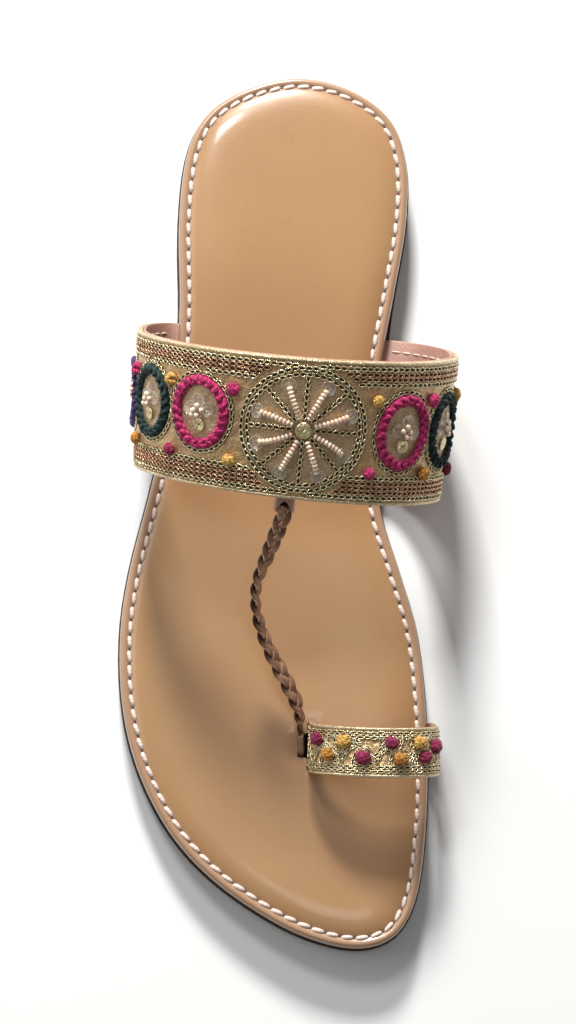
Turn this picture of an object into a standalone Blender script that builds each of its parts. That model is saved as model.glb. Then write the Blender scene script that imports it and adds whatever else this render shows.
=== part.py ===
"""A kolhapuri sandal for the right foot, built from the pieces that a sandal maker puts together.

Units are metres. +X points to the outer (lateral) side, +Y to the toe and +Z up. The origin is the middle of
the heel's tread on the floor. Lengths named "along" are measured from the back of the heel, lengths named
"across" from the line through the middle of the heel.
"""

import math
from dataclasses import dataclass

import bmesh
import bpy
import numpy as np
from mathutils import Matrix, Vector

# Sole
SOLE_LENGTH = 0.2530
BALL_WIDTH = 0.0898
HEEL_SEAT = 0.032  # from the back of the heel to the origin
HEEL_HEIGHT = 0.0108
FOREFOOT_THICKNESS = 0.0042
ARCH_LIFT = 0.0042
TOE_SPRING = 0.0036
FOOTBED_THICKNESS = 0.0045
FOOTBED_TOP_ROUND = 0.0015
FOOTBED_BOTTOM_ROUND = 0.0008
OUTSOLE_OUTSET = 0.0005
OUTSOLE_ROUND = 0.0009
WAIST_FLARE = 0.0020  # how far the outsole stands out past the footbed at the inner waist
WAIST_FLARE_ALONG = 0.097
WAIST_FLARE_REACH = 0.034
LAYER_GAP = 0.0003

# Instep band
BAND_ALONG = 0.0755  # its back edge, where it leaves the sole
BAND_STRAP_WIDTH = 0.0405
BAND_HALF_SPAN = 0.0452
BAND_CROWN = 0.0650
BAND_HIP = 0.0255
BAND_CENTRE = -0.0008
BAND_LEAN = 0.345  # forward run for each unit of height
BAND_SKEW = 0.0030
BAND_THICKNESS = 0.0022
BAND_TONGUE = 0.0140
BAND_CORNER = 0.8  # where the leg leaves the footbed's edge, as a share of its hip
CHANNEL_BEYOND = 0.012  # how far the channels for the tongues run past the straps' feet
EDGE_CORD_WIDTH = 0.0014
EDGE_CORD_RISE = 0.0006

# Toe ring
RING_ALONG = 0.1880
RING_STRAP_WIDTH = 0.0142
RING_CROWN = 0.0242
RING_HIP = 0.0118
RING_SLOT_ACROSS = -0.0092
RING_LEAN = 0.19
RING_THICKNESS = 0.0016
RING_EDGE_WIDTH = 0.0015
RING_EDGE_RISE = 0.0004
RING_TONGUE = 0.0075
RING_CORNER = 0.0016
RING_RIM_GAP = 0.0008

# Plait
PLAIT_WIDTH = 0.0044
PLAIT_THICKNESS = 0.0023
PLAIT_PITCH = 0.0052
PLAIT_END_GAP = 0.0008
PLAIT_BESIDE_RING = 0.0010  # clear space between the plait and the ring's outer leg
PLAIT_FOOT_SHARE = 0.62  # where it goes down, as a share of the ring strap's width from its heel edge
TAB_WIDTH = 0.0056
TAB_LENGTH = 0.0090
TAB_SHOWING = 0.0048
TAB_THICKNESS = 0.0018
TAB_ASIDE = 0.0016

# Trim
PIECE_GAP = 0.0003
CURVED_GAP = 0.0004
ROSETTE_RADIUS = 0.0178
ROSETTE_CLOTH = 0.0005
RING_MOTIF_LENGTH = 0.0182  # along the band
RING_MOTIF_WIDTH = 0.0212  # across the band
YARN_WIDTH = 0.0031
YARN_HEIGHT = 0.0021
KNOT_RADIUS = 0.0017
KNOT_HEIGHT = 0.0012
FIRST_MOTIF = 0.0296
MOTIF_PITCH = 0.0195
OUTER_RINGS_ASIDE = -0.0014
INNER_RINGS_ASIDE = -0.0005
KNOT_TO_HEEL = -0.0092
KNOT_TO_TOE = 0.0108
TRIM_SHIFT = -0.0016  # the whole trim of the band sits a little to the inner side of its crown

# Steps of the meshes
OUTLINE_STEPS = 4
YARN_STEPS = 24
ROSETTE_COLUMNS = 48
PLAIT_STEPS = 5  # for each crossing of its strands
STRAP_STEPS = (1, 6, 2, 26, 2, 6, 1)
RING_STEPS = (1, 5, 2, 18, 2, 5, 1)

# Edge of the footbed, round from the heel by the outer side: (along / length, across / ball width)
OUTLINE = (
    (0.000, 0.000),
    (0.017, 0.171),
    (0.049, 0.292),
    (0.099, 0.352),
    (0.179, 0.370),
    (0.279, 0.361),
    (0.373, 0.376),
    (0.481, 0.436),
    (0.582, 0.501),
    (0.660, 0.524),
    (0.741, 0.507),
    (0.811, 0.450),
    (0.878, 0.345),
    (0.931, 0.199),
    (0.976, 0.000),
    (0.997, -0.165),
    (0.998, -0.290),
    (0.978, -0.382),
    (0.929, -0.438),
    (0.838, -0.462),
    (0.745, -0.458),
    (0.648, -0.427),
    (0.576, -0.367),
    (0.508, -0.304),
    (0.435, -0.275),
    (0.353, -0.286),
    (0.260, -0.329),
    (0.171, -0.367),
    (0.097, -0.365),
    (0.045, -0.308),
    (0.011, -0.171),
)

# Sole from the side: (along / length, heel rise, arch lift, toe spring), the last three as shares
SOLE_PROFILE = (
    (0.000, 1.00, 0.00, 0.00),
    (0.120, 1.00, 0.00, 0.00),
    (0.232, 0.93, 0.00, 0.00),
    (0.250, 0.91, 0.86, 0.00),
    (0.310, 0.80, 1.00, 0.00),
    (0.380, 0.60, 0.86, 0.00),
    (0.450, 0.37, 0.52, 0.00),
    (0.520, 0.17, 0.17, 0.00),
    (0.590, 0.05, 0.00, 0.00),
    (0.670, 0.00, 0.00, 0.00),
    (0.770, 0.00, 0.00, 0.00),
    (0.830, 0.00, 0.00, 0.10),
    (0.890, 0.00, 0.00, 0.34),
    (0.945, 0.00, 0.00, 0.65),
    (1.000, 0.00, 0.00, 1.00),
)

# Plait from the toe slot to its tab: (share of the way, aside, above, turn in degrees), shares of its span
PLAIT_ROUTE = (
    (0.000, 0.000, 0.000, 90.0),
    (0.081, -0.004, 0.005, 84.0),
    (0.178, -0.003, -0.016, 62.0),
    (0.277, 0.025, -0.034, 34.0),
    (0.386, 0.066, -0.063, 36.0),
    (0.503, 0.103, -0.091, 58.0),
    (0.621, 0.123, -0.103, 76.0),
    (0.729, 0.113, -0.096, 62.0),
    (0.837, 0.069, -0.067, 28.0),
    (0.928, 0.029, -0.030, 6.0),
    (1.000, 0.000, 0.000, 0.0),
)

# Wool knots of the toe ring: (along the strap from its crown / strap width, across / strap width, wool)
RING_KNOTS = (
    (1.28, -0.21, "pink"),
    (1.00, 0.08, "orange"),
    (0.66, -0.19, "yellow"),
    (0.28, 0.10, "pink"),
    (-0.27, -0.20, "pink"),
    (-0.45, 0.12, "orange"),
    (-0.86, -0.19, "yellow"),
    (-1.00, 0.10, "rose"),
    (-1.31, -0.10, "pink"),
)

# Wool knots between the band's motifs, from the rosette outwards: (side, place, wool to heel, wool to toe)
BAND_KNOTS = (
    ("outer", 0, "pink", "yellow"),
    ("outer", 1, "yellow", "rose"),
    ("outer", 2, "pink", "orange"),
    ("inner", 0, "yellow", "pink"),
    ("inner", 1, "pink", "orange"),
    ("inner", 2, "yellow", "rose"),
)

# Relief of the rosette over its cloth: (from, to, height), the first two as shares of its radius
ROSETTE_RELIEF = {
    "button": (0.00, 0.15, 0.0016),
    "petal": (0.22, 0.74, 0.0014),
    "petal flank": (0.30, 0.72, 0.0006),
    "spoke": (0.15, 0.93, 0.0006),
    "rim": (0.93, 1.01, 0.0006),
}
ROSETTE_RADII = (0.10, 0.145, 0.20, 0.27, 0.48, 0.70, 0.78, 0.92, 0.95, 1.0)

# Sections: (across / width, up / height) of the yarn rings, and of the plait from its middle
YARN_SECTION = ((-0.5, 0.0), (-0.46, 0.55), (-0.2, 1.0), (0.2, 1.0), (0.46, 0.55), (0.5, 0.0))
PLAIT_SECTION = (
    (0.50, 0.00),
    (0.36, 0.40),
    (0.06, 0.45),
    (-0.36, 0.40),
    (-0.50, 0.00),
    (-0.36, -0.40),
    (-0.06, -0.45),
    (0.36, -0.40),
)

# Finishes: (red, green, blue, metallic, roughness)
FINISHES = {
    "rubber": (0.045, 0.030, 0.024, 0.0, 0.75),
    "footbed": (0.56, 0.34, 0.19, 0.0, 0.30),
    "gold_cloth": (0.62, 0.50, 0.27, 0.45, 0.42),
    "copper_leather": (0.42, 0.24, 0.15, 0.35, 0.40),
    "stitched_gold": (0.66, 0.56, 0.36, 0.35, 0.40),
    "pink": (0.62, 0.03, 0.16, 0.0, 0.90),
    "rose": (0.45, 0.02, 0.09, 0.0, 0.90),
    "green": (0.01, 0.10, 0.075, 0.0, 0.90),
    "purple": (0.12, 0.05, 0.28, 0.0, 0.90),
    "yellow": (0.76, 0.50, 0.12, 0.0, 0.90),
    "orange": (0.72, 0.33, 0.05, 0.0, 0.90),
}


def clear_scene():
    """Removes the objects that the file opened with."""
    for obj in list(bpy.data.objects):
        bpy.data.objects.remove(obj, do_unlink=True)


def new_collection(name):
    collection = bpy.data.collections.new(name)
    bpy.context.scene.collection.children.link(collection)
    return collection


def finish(name):
    """The Principled material of one finish."""
    material = bpy.data.materials.get(name) or bpy.data.materials.new(name)
    red, green, blue, metallic, roughness = FINISHES[name]
    material.use_nodes = True
    shader = material.node_tree.nodes["Principled BSDF"]
    shader.inputs["Base Color"].default_value = (red, green, blue, 1.0)
    shader.inputs["Metallic"].default_value = metallic
    shader.inputs["Roughness"].default_value = roughness
    material.diffuse_color = (red, green, blue, 1.0)
    return material


def mesh_object(name, shape, collection, finish_name=None, smooth_angle=35.0):
    """Makes an object of a bmesh, with its faces turned outwards."""
    bmesh.ops.recalc_face_normals(shape, faces=shape.faces)
    mesh = bpy.data.meshes.new(name)
    shape.to_mesh(mesh)
    shape.free()
    mesh.shade_smooth()
    mesh.set_sharp_from_angle(angle=math.radians(smooth_angle))
    obj = bpy.data.objects.new(name, mesh)
    collection.objects.link(obj)
    if finish_name:
        mesh.materials.append(finish(finish_name))
    return obj


def add_bevel(obj, width, segments, angle=40.0, group=None):
    bevel = obj.modifiers.new("Bevel" if group is None else group, "BEVEL")
    bevel.width = width
    bevel.segments = segments
    bevel.use_clamp_overlap = True
    if group is None:
        bevel.limit_method = "ANGLE"
        bevel.angle_limit = math.radians(angle)
    else:
        bevel.limit_method = "WEIGHT"
        bevel.edge_weight = group
    return bevel


def add_cut(obj, cutter):
    cut = obj.modifiers.new(f"Cut {cutter.name}", "BOOLEAN")
    cut.operation = "DIFFERENCE"
    cut.solver = "EXACT"
    cut.object = cutter


# Sole outline and side profile


def smooth_loop(points, steps):
    """A closed Catmull-Rom curve through the points, with steps spans between each two."""
    loop = []
    count = len(points)
    for i in range(count):
        before, start, end, after = (np.array(points[(i + k) % count]) for k in (-1, 0, 1, 2))
        for step in range(steps):
            t = step / steps
            loop.append(
                0.5
                * (
                    2 * start
                    + (end - before) * t
                    + (2 * before - 5 * start + 4 * end - after) * t**2
                    + (3 * start - before - 3 * end + after) * t**3
                )
            )
    return loop


def footbed_outline():
    """The footbed's edge as (across, along) points in metres."""
    return [
        (across * BALL_WIDTH, along * SOLE_LENGTH) for along, across in smooth_loop(OUTLINE, OUTLINE_STEPS)
    ]


def outsole_outline():
    """The footbed's edge let out a little, and more at the inner waist."""
    points = footbed_outline()
    moved = []
    for i, (x, y) in enumerate(points):
        x0, y0 = points[i - 1]
        x1, y1 = points[(i + 1) % len(points)]
        run = math.hypot(x1 - x0, y1 - y0)
        out = ((y1 - y0) / run, -(x1 - x0) / run)
        if out[0] * (y1 - y0) - out[1] * (x1 - x0) < 0:
            out = (-out[0], -out[1])
        reach = (y - WAIST_FLARE_ALONG) / WAIST_FLARE_REACH
        flare = WAIST_FLARE * math.cos(reach * math.pi / 2) ** 2 if x < 0 and abs(reach) < 1 else 0.0
        shift = flare + OUTSOLE_OUTSET
        moved.append((x + out[0] * shift, y + out[1] * shift))
    return moved


PROFILE_ALONG = [row[0] * SOLE_LENGTH for row in SOLE_PROFILE]
OUTSOLE_TOP = [
    FOREFOOT_THICKNESS + row[1] * (HEEL_HEIGHT - FOREFOOT_THICKNESS) + row[3] * TOE_SPRING
    for row in SOLE_PROFILE
]
OUTSOLE_UNDER = [row[2] * ARCH_LIFT + row[3] * TOE_SPRING for row in SOLE_PROFILE]


def outsole_top(along):
    return float(np.interp(along, PROFILE_ALONG, OUTSOLE_TOP))


def outsole_under(along):
    return float(np.interp(along, PROFILE_ALONG, OUTSOLE_UNDER))


def footbed_under(along):
    return outsole_top(along) + LAYER_GAP


def footbed_top(along):
    return footbed_under(along) + FOOTBED_THICKNESS


def edge_across(along, outer):
    """How far across the footbed's edge lies, on the outer or the inner side."""
    points = footbed_outline()
    found = []
    for (x0, y0), (x1, y1) in zip(points, points[1:] + points[:1]):
        if min(y0, y1) <= along < max(y0, y1):
            found.append(x0 + (x1 - x0) * (along - y0) / (y1 - y0))
    return max(found) if outer else min(found)


def slab(outline, low, high):
    """A layer with this outline between two heights, folded at the profile's sections.

    low and high give a height for a place along the sole.
    """
    shape = bmesh.new()
    face = shape.faces.new([shape.verts.new((x, y, 0)) for x, y in outline])
    if face.normal.z < 0:
        face.normal_flip()
    for along in PROFILE_ALONG[1:-1]:
        cut = shape.verts[:] + shape.edges[:] + shape.faces[:]
        bmesh.ops.bisect_plane(shape, geom=cut, plane_co=(0, along, 0), plane_no=(0, 1, 0), dist=1e-7)
    lower = shape.verts[:]
    raised = bmesh.ops.extrude_face_region(shape, geom=shape.faces[:], use_keep_orig=True)
    upper = [item for item in raised["geom"] if isinstance(item, bmesh.types.BMVert)]
    for vertices, height in ((lower, low), (upper, high)):
        for vertex in vertices:
            vertex.co.z = height(vertex.co.y)
    for vertex in shape.verts:
        vertex.co.y -= HEEL_SEAT
    return shape


def weigh_rim(obj, name, upper):
    """Marks the rim of the top or of the underside for a bevel."""
    mesh = obj.data
    weights = mesh.attributes.new(name, "FLOAT", "EDGE")
    shape = bmesh.new()
    shape.from_mesh(mesh)
    shape.normal_update()
    for edge in shape.edges:
        tilts = [face.normal.z for face in edge.link_faces]
        level = max(tilts) if upper else -min(tilts)
        weights.data[edge.index].value = 1.0 if level > 0.5 and min(map(abs, tilts)) < 0.3 else 0.0
    shape.free()


# Straps

CROWN_PLACE = 3.5


@dataclass(frozen=True)
class StrapEdge:
    """One edge of a strap that arches over the footbed, by its lining side."""

    along: float
    skew: float
    inner_foot: float
    outer_foot: float
    inner_reach: float
    outer_reach: float
    corner: float
    hip: float
    crown: float

    def point(self, place, inner_tongue, outer_tongue):
        """(across, height) at a place from 0, the inner tongue's end, to 7, the outer tongue's end."""
        piece = min(int(place), 6)
        t = place - piece
        inner = piece < 3
        foot = self.inner_foot if inner else self.outer_foot
        reach = self.inner_reach if inner else self.outer_reach
        if piece in (0, 6):
            share = 1 - t if inner else t
            inward = inner_tongue if inner else -outer_tongue
            return foot + inward * share, 0.0
        if piece in (1, 5):
            turn = (t if inner else 1 - t) * math.pi / 2
            return foot + (reach - foot) * math.sin(turn), self.corner * (1 - math.cos(turn))
        if piece in (2, 4):
            share = t if inner else 1 - t
            return reach, self.corner + (self.hip - self.corner) * share
        turn = math.pi * (1 - t)
        middle = (self.inner_reach + self.outer_reach) / 2
        half = (self.outer_reach - self.inner_reach) / 2
        return middle + half * math.cos(turn), self.hip + (self.crown - self.hip) * math.sin(turn)


@dataclass(frozen=True)
class Strap:
    """A strap ruled between its edge towards the heel and its edge towards the toe."""

    heel_edge: StrapEdge
    toe_edge: StrapEdge
    centre: float
    half_span: float
    lean: float
    inner_tongue: float
    outer_tongue: float
    thickness: float

    def foot_along(self, share, across):
        """Where the strap leaves the sole, at a share of its width and a place across."""
        along = self.heel_edge.along + (self.toe_edge.along - self.heel_edge.along) * share
        skew = self.heel_edge.skew + (self.toe_edge.skew - self.heel_edge.skew) * share
        return along - skew * (across - self.centre) / self.half_span

    def lining(self, place, share):
        """A point of the lining side, in the frame of the object."""
        ends = [
            edge.point(place, self.inner_tongue, self.outer_tongue)
            for edge in (self.heel_edge, self.toe_edge)
        ]
        across = ends[0][0] + (ends[1][0] - ends[0][0]) * share
        height = ends[0][1] + (ends[1][1] - ends[0][1]) * share
        along = self.foot_along(share, across)
        level = footbed_under(along) - PIECE_GAP
        return Vector((across, along + self.lean * height - HEEL_SEAT, level + height))

    def outward(self, place, share):
        """The unit normal, which points away from the foot."""
        step = 1e-3
        run = self.lining(place + step, share) - self.lining(place - step, share)
        width = self.lining(place, share + step) - self.lining(place, share - step)
        return run.cross(width).normalized()

    def width_at_crown(self):
        return (self.lining(CROWN_PLACE, 1.0) - self.lining(CROWN_PLACE, 0.0)).length


def band_foot(along, skew, outer):
    """How far across one edge of the band meets the footbed's rim, with its skew taken into account."""
    across = edge_across(along, outer)
    return edge_across(along - skew * (across - BAND_CENTRE) / BAND_HALF_SPAN, outer)


def band_edge(along, skew, inner_share, outer_share, hip_share, crown_share):
    """One edge of the instep band, its reach and heights as shares of the band's."""
    return StrapEdge(
        along=along,
        skew=skew,
        inner_foot=band_foot(along, skew, outer=False),
        outer_foot=band_foot(along, skew, outer=True),
        inner_reach=BAND_CENTRE - BAND_HALF_SPAN * inner_share,
        outer_reach=BAND_CENTRE + BAND_HALF_SPAN * outer_share,
        corner=BAND_HIP * hip_share * BAND_CORNER,
        hip=BAND_HIP * hip_share,
        crown=BAND_CROWN * crown_share,
    )


def instep_strap():
    """The band over the instep; its toe edge is lower, and its rear edge stands nearly upright."""
    return Strap(
        heel_edge=band_edge(BAND_ALONG, BAND_SKEW * 0.8, 0.96, 0.94, 1.0, 1.0),
        toe_edge=band_edge(BAND_ALONG + BAND_STRAP_WIDTH, BAND_SKEW * 1.3, 0.86, 0.94, 0.92, 0.78),
        centre=BAND_CENTRE,
        half_span=BAND_HALF_SPAN,
        lean=BAND_LEAN,
        inner_tongue=BAND_TONGUE,
        outer_tongue=BAND_TONGUE,
        thickness=BAND_THICKNESS,
    )


def ring_edge(along, crown_share):
    """One edge of the toe ring, from the inner rim to its slot between the toes."""
    rim = edge_across(along, outer=False)
    return StrapEdge(
        along=along,
        skew=0.0,
        inner_foot=rim + RING_RIM_GAP / 2,
        outer_foot=RING_SLOT_ACROSS - RING_CORNER,
        inner_reach=rim - RING_RIM_GAP,
        outer_reach=RING_SLOT_ACROSS,
        corner=RING_CORNER * 1.25,
        hip=RING_HIP,
        crown=RING_CROWN * crown_share,
    )


def toe_strap():
    """The ring round the big toe, from the inner rim to the slot beside the toe."""
    heel_edge = ring_edge(RING_ALONG, 1.0)
    return Strap(
        heel_edge=heel_edge,
        toe_edge=ring_edge(RING_ALONG + RING_STRAP_WIDTH, 0.96),
        centre=(heel_edge.inner_reach + heel_edge.outer_reach) / 2,
        half_span=(heel_edge.outer_reach - heel_edge.inner_reach) / 2,
        lean=RING_LEAN,
        inner_tongue=RING_TONGUE,
        outer_tongue=RING_TONGUE,
        thickness=RING_THICKNESS,
    )


def strap_places(steps):
    """The places of a strap's cross rows, with the given steps in each of its seven pieces."""
    places = [0.0]
    for piece, count in enumerate(steps):
        places += [piece + (k + 1) / count for k in range(count)]
    return places


def strap_solid(name, strap, steps, edge_width, edge_rise, collection, finish_name):
    """The strap's lining surface thickened outwards, a little more along its corded edges."""
    width = strap.toe_edge.along - strap.heel_edge.along
    cord, cloth = edge_width / width, edge_width * 1.25 / width
    shares = (0.0, cord, cloth, 0.5, 1 - cloth, 1 - cord, 1.0)
    places = strap_places(steps)
    shape = bmesh.new()
    rows = [[shape.verts.new(strap.lining(place, share)) for share in shares] for place in places]
    for row, after in zip(rows, rows[1:]):
        for k in range(len(shares) - 1):
            shape.faces.new((row[k], after[k], after[k + 1], row[k + 1]))
    mesh = bpy.data.meshes.new(name)
    shape.to_mesh(mesh)
    shape.free()
    mesh.shade_smooth()
    mesh.set_sharp_from_angle(angle=math.radians(40))
    mesh.materials.append(finish(finish_name))
    obj = bpy.data.objects.new(name, mesh)
    collection.objects.link(obj)

    corded = obj.vertex_groups.new(name="Corded edge")
    for i, place in enumerate(places):
        rise = min(max(place - 2.0, 0.0), max(5.0 - place, 0.0), 0.5) / 0.5
        for k, share in enumerate(shares):
            on_cord = share <= cord + 1e-6 or share >= 1 - cord - 1e-6
            corded.add([i * len(shares) + k], rise if on_cord else 0.0, "REPLACE")
    wall = obj.modifiers.new("Wall", "SOLIDIFY")
    wall.thickness = strap.thickness + edge_rise
    wall.offset = 1.0
    wall.vertex_group = corded.name
    wall.thickness_vertex_group = strap.thickness / wall.thickness
    return obj


def strap_channel(strap, outer, beyond):
    """Plan of the channel that takes one tongue of a strap, from its end to beyond its foot."""
    sign = 1.0 if outer else -1.0
    tongue = strap.outer_tongue if outer else strap.inner_tongue
    corners = []
    for share, edge, clear in ((0.0, strap.heel_edge, -PIECE_GAP), (1.0, strap.toe_edge, PIECE_GAP)):
        foot = edge.outer_foot if outer else edge.inner_foot
        side = [foot - sign * (tongue + PIECE_GAP), foot + sign * beyond]
        corners.append([(x, strap.foot_along(share, x) + clear) for x in side])
    return corners[0] + corners[1][::-1]


class StrapCloth:
    """The outer face of a strap as a flat cloth, on which trim is laid out."""

    def __init__(self, strap):
        self.strap = strap
        self.width = strap.width_at_crown()
        places = np.linspace(1.0, 6.0, 601)
        points = [self.outer_point(float(place), 0.5, 0.0) for place in places]
        steps = [(b - a).length for a, b in zip(points, points[1:])]
        self.places = places
        self.runs = np.concatenate([[0.0], np.cumsum(steps)])
        self.middle = float(np.interp(CROWN_PLACE, self.places, self.runs))

    def outer_point(self, place, share, lift):
        strap = self.strap
        return strap.lining(place, share) + strap.outward(place, share) * (strap.thickness + lift)

    def point(self, distance, aside, lift):
        """The point a distance round the strap from its crown, aside towards the toe, and lifted off it."""
        place = float(np.interp(self.middle + distance, self.runs, self.places))
        return self.outer_point(place, 0.5 + aside / self.width, lift)

    def frame(self, distance, aside, lift):
        """A matrix whose X runs round the strap, Y across it and Z away from it."""
        step = 5e-4
        spot = self.point(distance, aside, lift)
        before, after = (self.point(distance + k * step, aside, lift) for k in (-1, 1))
        along = (after - before).normalized()
        away = (self.point(distance, aside, lift + step) - spot).normalized()
        side = away.cross(along).normalized()
        return Matrix.Translation(spot) @ Matrix((along, side, away)).transposed().to_4x4()


# Lofted pieces


def loft(rings, closed):
    """A solid through rings of points, closed on itself or with an end face at each end."""
    shape = bmesh.new()
    loops = [[shape.verts.new(point) for point in ring] for ring in rings]
    pairs = list(zip(loops, loops[1:])) + ([(loops[-1], loops[0])] if closed else [])
    for ring, after in pairs:
        for k in range(len(ring)):
            nxt = (k + 1) % len(ring)
            shape.faces.new((ring[k], ring[nxt], after[nxt], after[k]))
    if not closed:
        shape.faces.new(loops[0])
        shape.faces.new(reversed(loops[-1]))
    return shape


def yarn_ring(name, cloth, distance, aside, wool, collection):
    """An oval ring of wool yarn sewn down on the cloth."""
    half_length = (RING_MOTIF_LENGTH - YARN_WIDTH) / 2
    half_width = (RING_MOTIF_WIDTH - YARN_WIDTH) / 2
    rings = []
    for k in range(YARN_STEPS):
        turn = 2 * math.pi * k / YARN_STEPS
        ring = []
        for out, up in YARN_SECTION:
            a = (half_length + out * YARN_WIDTH) * math.cos(turn)
            b = (half_width + out * YARN_WIDTH) * math.sin(turn)
            ring.append(cloth.point(distance + a, aside + b, CURVED_GAP + up * YARN_HEIGHT))
        rings.append(ring)
    return mesh_object(name, loft(rings, closed=True), collection, wool)


def rosette_height(radius, column):
    """Height of the rosette's relief above its cloth; spokes and petals take turns every three columns."""
    place = {0: ["spoke"], 2: ["petal flank"], 3: ["petal"], 4: ["petal flank"]}.get(column % 6, [])
    heights = [0.0]
    for part in ["button", "rim"] + place:
        start, end, height = ROSETTE_RELIEF[part]
        if start <= radius < end:
            heights.append(height)
    return max(heights)


def rosette(cloth, collection):
    """The round flower at the crown: a button, eight petals, eight spokes and a corded rim, in low relief."""
    shape = bmesh.new()
    layers = []
    for upper in (False, True):
        rows = []
        for radius in ROSETTE_RADII:
            row = []
            for column in range(ROSETTE_COLUMNS):
                turn = 2 * math.pi * column / ROSETTE_COLUMNS
                lift = CURVED_GAP
                if upper:
                    lift += ROSETTE_CLOTH + rosette_height(radius, column)
                row.append(
                    shape.verts.new(
                        cloth.point(
                            TRIM_SHIFT + radius * ROSETTE_RADIUS * math.cos(turn),
                            radius * ROSETTE_RADIUS * math.sin(turn),
                            lift,
                        )
                    )
                )
            rows.append(row)
        layers.append(rows)
    for rows in layers:
        shape.faces.new(rows[0])
        for row, after in zip(rows, rows[1:]):
            for k in range(ROSETTE_COLUMNS):
                nxt = (k + 1) % ROSETTE_COLUMNS
                shape.faces.new((row[k], row[nxt], after[nxt], after[k]))
    lower, upper = layers[0][-1], layers[1][-1]
    for k in range(ROSETTE_COLUMNS):
        nxt = (k + 1) % ROSETTE_COLUMNS
        shape.faces.new((lower[k], lower[nxt], upper[nxt], upper[k]))
    return mesh_object("rosette", shape, collection, "stitched_gold")


def knot(name, cloth, distance, aside, wool, collection):
    """A small wool knot, flattened where it is sewn down."""
    shape = bmesh.new()
    bmesh.ops.create_uvsphere(shape, u_segments=8, v_segments=5, radius=1.0)
    flat = Matrix.Diagonal((KNOT_RADIUS, KNOT_RADIUS, KNOT_HEIGHT, 1.0))
    place = cloth.frame(distance, aside, KNOT_HEIGHT + CURVED_GAP)
    bmesh.ops.transform(shape, matrix=place @ flat, verts=shape.verts)
    return mesh_object(name, shape, collection, wool)


# Plait


def tab_frame(band):
    """The frame of the plait's tab under the band's toe edge: X across, Y forward along the lining, Z away."""
    cloth = StrapCloth(band)
    place = float(np.interp(cloth.middle + TAB_ASIDE, cloth.runs, cloth.places))
    away = band.outward(place, 1.0)
    forward = (band.lining(place, 1.0) - band.lining(place, 0.8)).normalized()
    side = forward.cross(away).normalized()
    spot = band.lining(place, 1.0) - away * (PIECE_GAP + TAB_THICKNESS / 2)
    spot += forward * (TAB_SHOWING - TAB_LENGTH / 2)
    return Matrix.Translation(spot) @ Matrix((side, forward, away)).transposed().to_4x4()


def plait_tab(band, collection):
    """The folded end that is sewn under the band and holds the plait."""
    shape = bmesh.new()
    bmesh.ops.create_cube(shape, size=1.0)
    size = Matrix.Diagonal((TAB_WIDTH, TAB_LENGTH, TAB_THICKNESS, 1.0))
    bmesh.ops.transform(shape, matrix=tab_frame(band) @ size, verts=shape.verts)
    obj = mesh_object("plait_tab", shape, collection, "copper_leather")
    add_bevel(obj, TAB_THICKNESS * 0.3, 2)
    return obj


def plait_slot_across():
    """The middle of the plait where it goes down beside the toe ring's outer leg."""
    return RING_SLOT_ACROSS + RING_THICKNESS + RING_EDGE_RISE + PLAIT_BESIDE_RING + PLAIT_THICKNESS * 0.45


def plait_slot_along():
    """Where along the sole the plait goes down, beside the toe end of the ring's leg."""
    return RING_ALONG + RING_STRAP_WIDTH * PLAIT_FOOT_SHARE


def plait_line(band, samples):
    """Points, tangents and turns of the plait's middle line, from the slot to the tab."""
    along = plait_slot_along()
    foot = Vector((plait_slot_across(), along - HEEL_SEAT, footbed_top(along)))
    end = tab_frame(band) @ Vector((0, TAB_LENGTH / 2 + PLAIT_END_GAP, 0))
    span = (end - foot).length
    knots = [foot - Vector((0, 0, FOOTBED_THICKNESS - PIECE_GAP))]
    turns = [PLAIT_ROUTE[0][3]]
    for share, aside, above, turn in PLAIT_ROUTE:
        knots.append(foot.lerp(end, share) + Vector((aside, 0, above)) * span)
        turns.append(turn)
    chords = np.concatenate([[0.0], np.cumsum([(b - a).length ** 0.5 for a, b in zip(knots, knots[1:])])])
    line = []
    for t in np.linspace(0.0, chords[-1], samples):
        i = min(int(np.searchsorted(chords, t, side="right")) - 1, len(knots) - 2)
        line.append(chord_point(knots, chords, i, t))
    points = even_points(line, samples)
    shares = np.linspace(0.0, 1.0, samples)
    runs = np.concatenate([[0.0], np.cumsum([(b - a).length for a, b in zip(knots, knots[1:])])])
    rolls = np.interp(shares, runs / runs[-1], turns)
    return points, rolls


def chord_point(knots, chords, i, t):
    """A point of the centripetal Catmull-Rom curve through the knots, on its span i."""
    last = len(knots) - 1
    before = knots[i - 1] if i > 0 else knots[0] * 2 - knots[1]
    after = knots[i + 2] if i + 2 <= last else knots[last] * 2 - knots[last - 1]
    t1, t2 = chords[i], chords[i + 1]
    t0 = t1 - max((knots[i] - before).length ** 0.5, 1e-6)
    t3 = t2 + max((after - knots[i + 1]).length ** 0.5, 1e-6)
    a1 = before * ((t1 - t) / (t1 - t0)) + knots[i] * ((t - t0) / (t1 - t0))
    a2 = knots[i] * ((t2 - t) / (t2 - t1)) + knots[i + 1] * ((t - t1) / (t2 - t1))
    a3 = knots[i + 1] * ((t3 - t) / (t3 - t2)) + after * ((t - t2) / (t3 - t2))
    b1 = a1 * ((t2 - t) / (t2 - t0)) + a2 * ((t - t0) / (t2 - t0))
    b2 = a2 * ((t3 - t) / (t3 - t1)) + a3 * ((t - t1) / (t3 - t1))
    return b1 * ((t2 - t) / (t2 - t1)) + b2 * ((t - t1) / (t2 - t1))


def even_points(line, count):
    """The same line with its points spaced evenly."""
    points = np.array(line)
    runs = np.concatenate([[0.0], np.cumsum(np.linalg.norm(np.diff(points, axis=0), axis=1))])
    wanted = np.linspace(0.0, runs[-1], count)
    return [Vector([float(np.interp(w, runs, points[:, axis])) for axis in range(3)]) for w in wanted]


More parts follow.
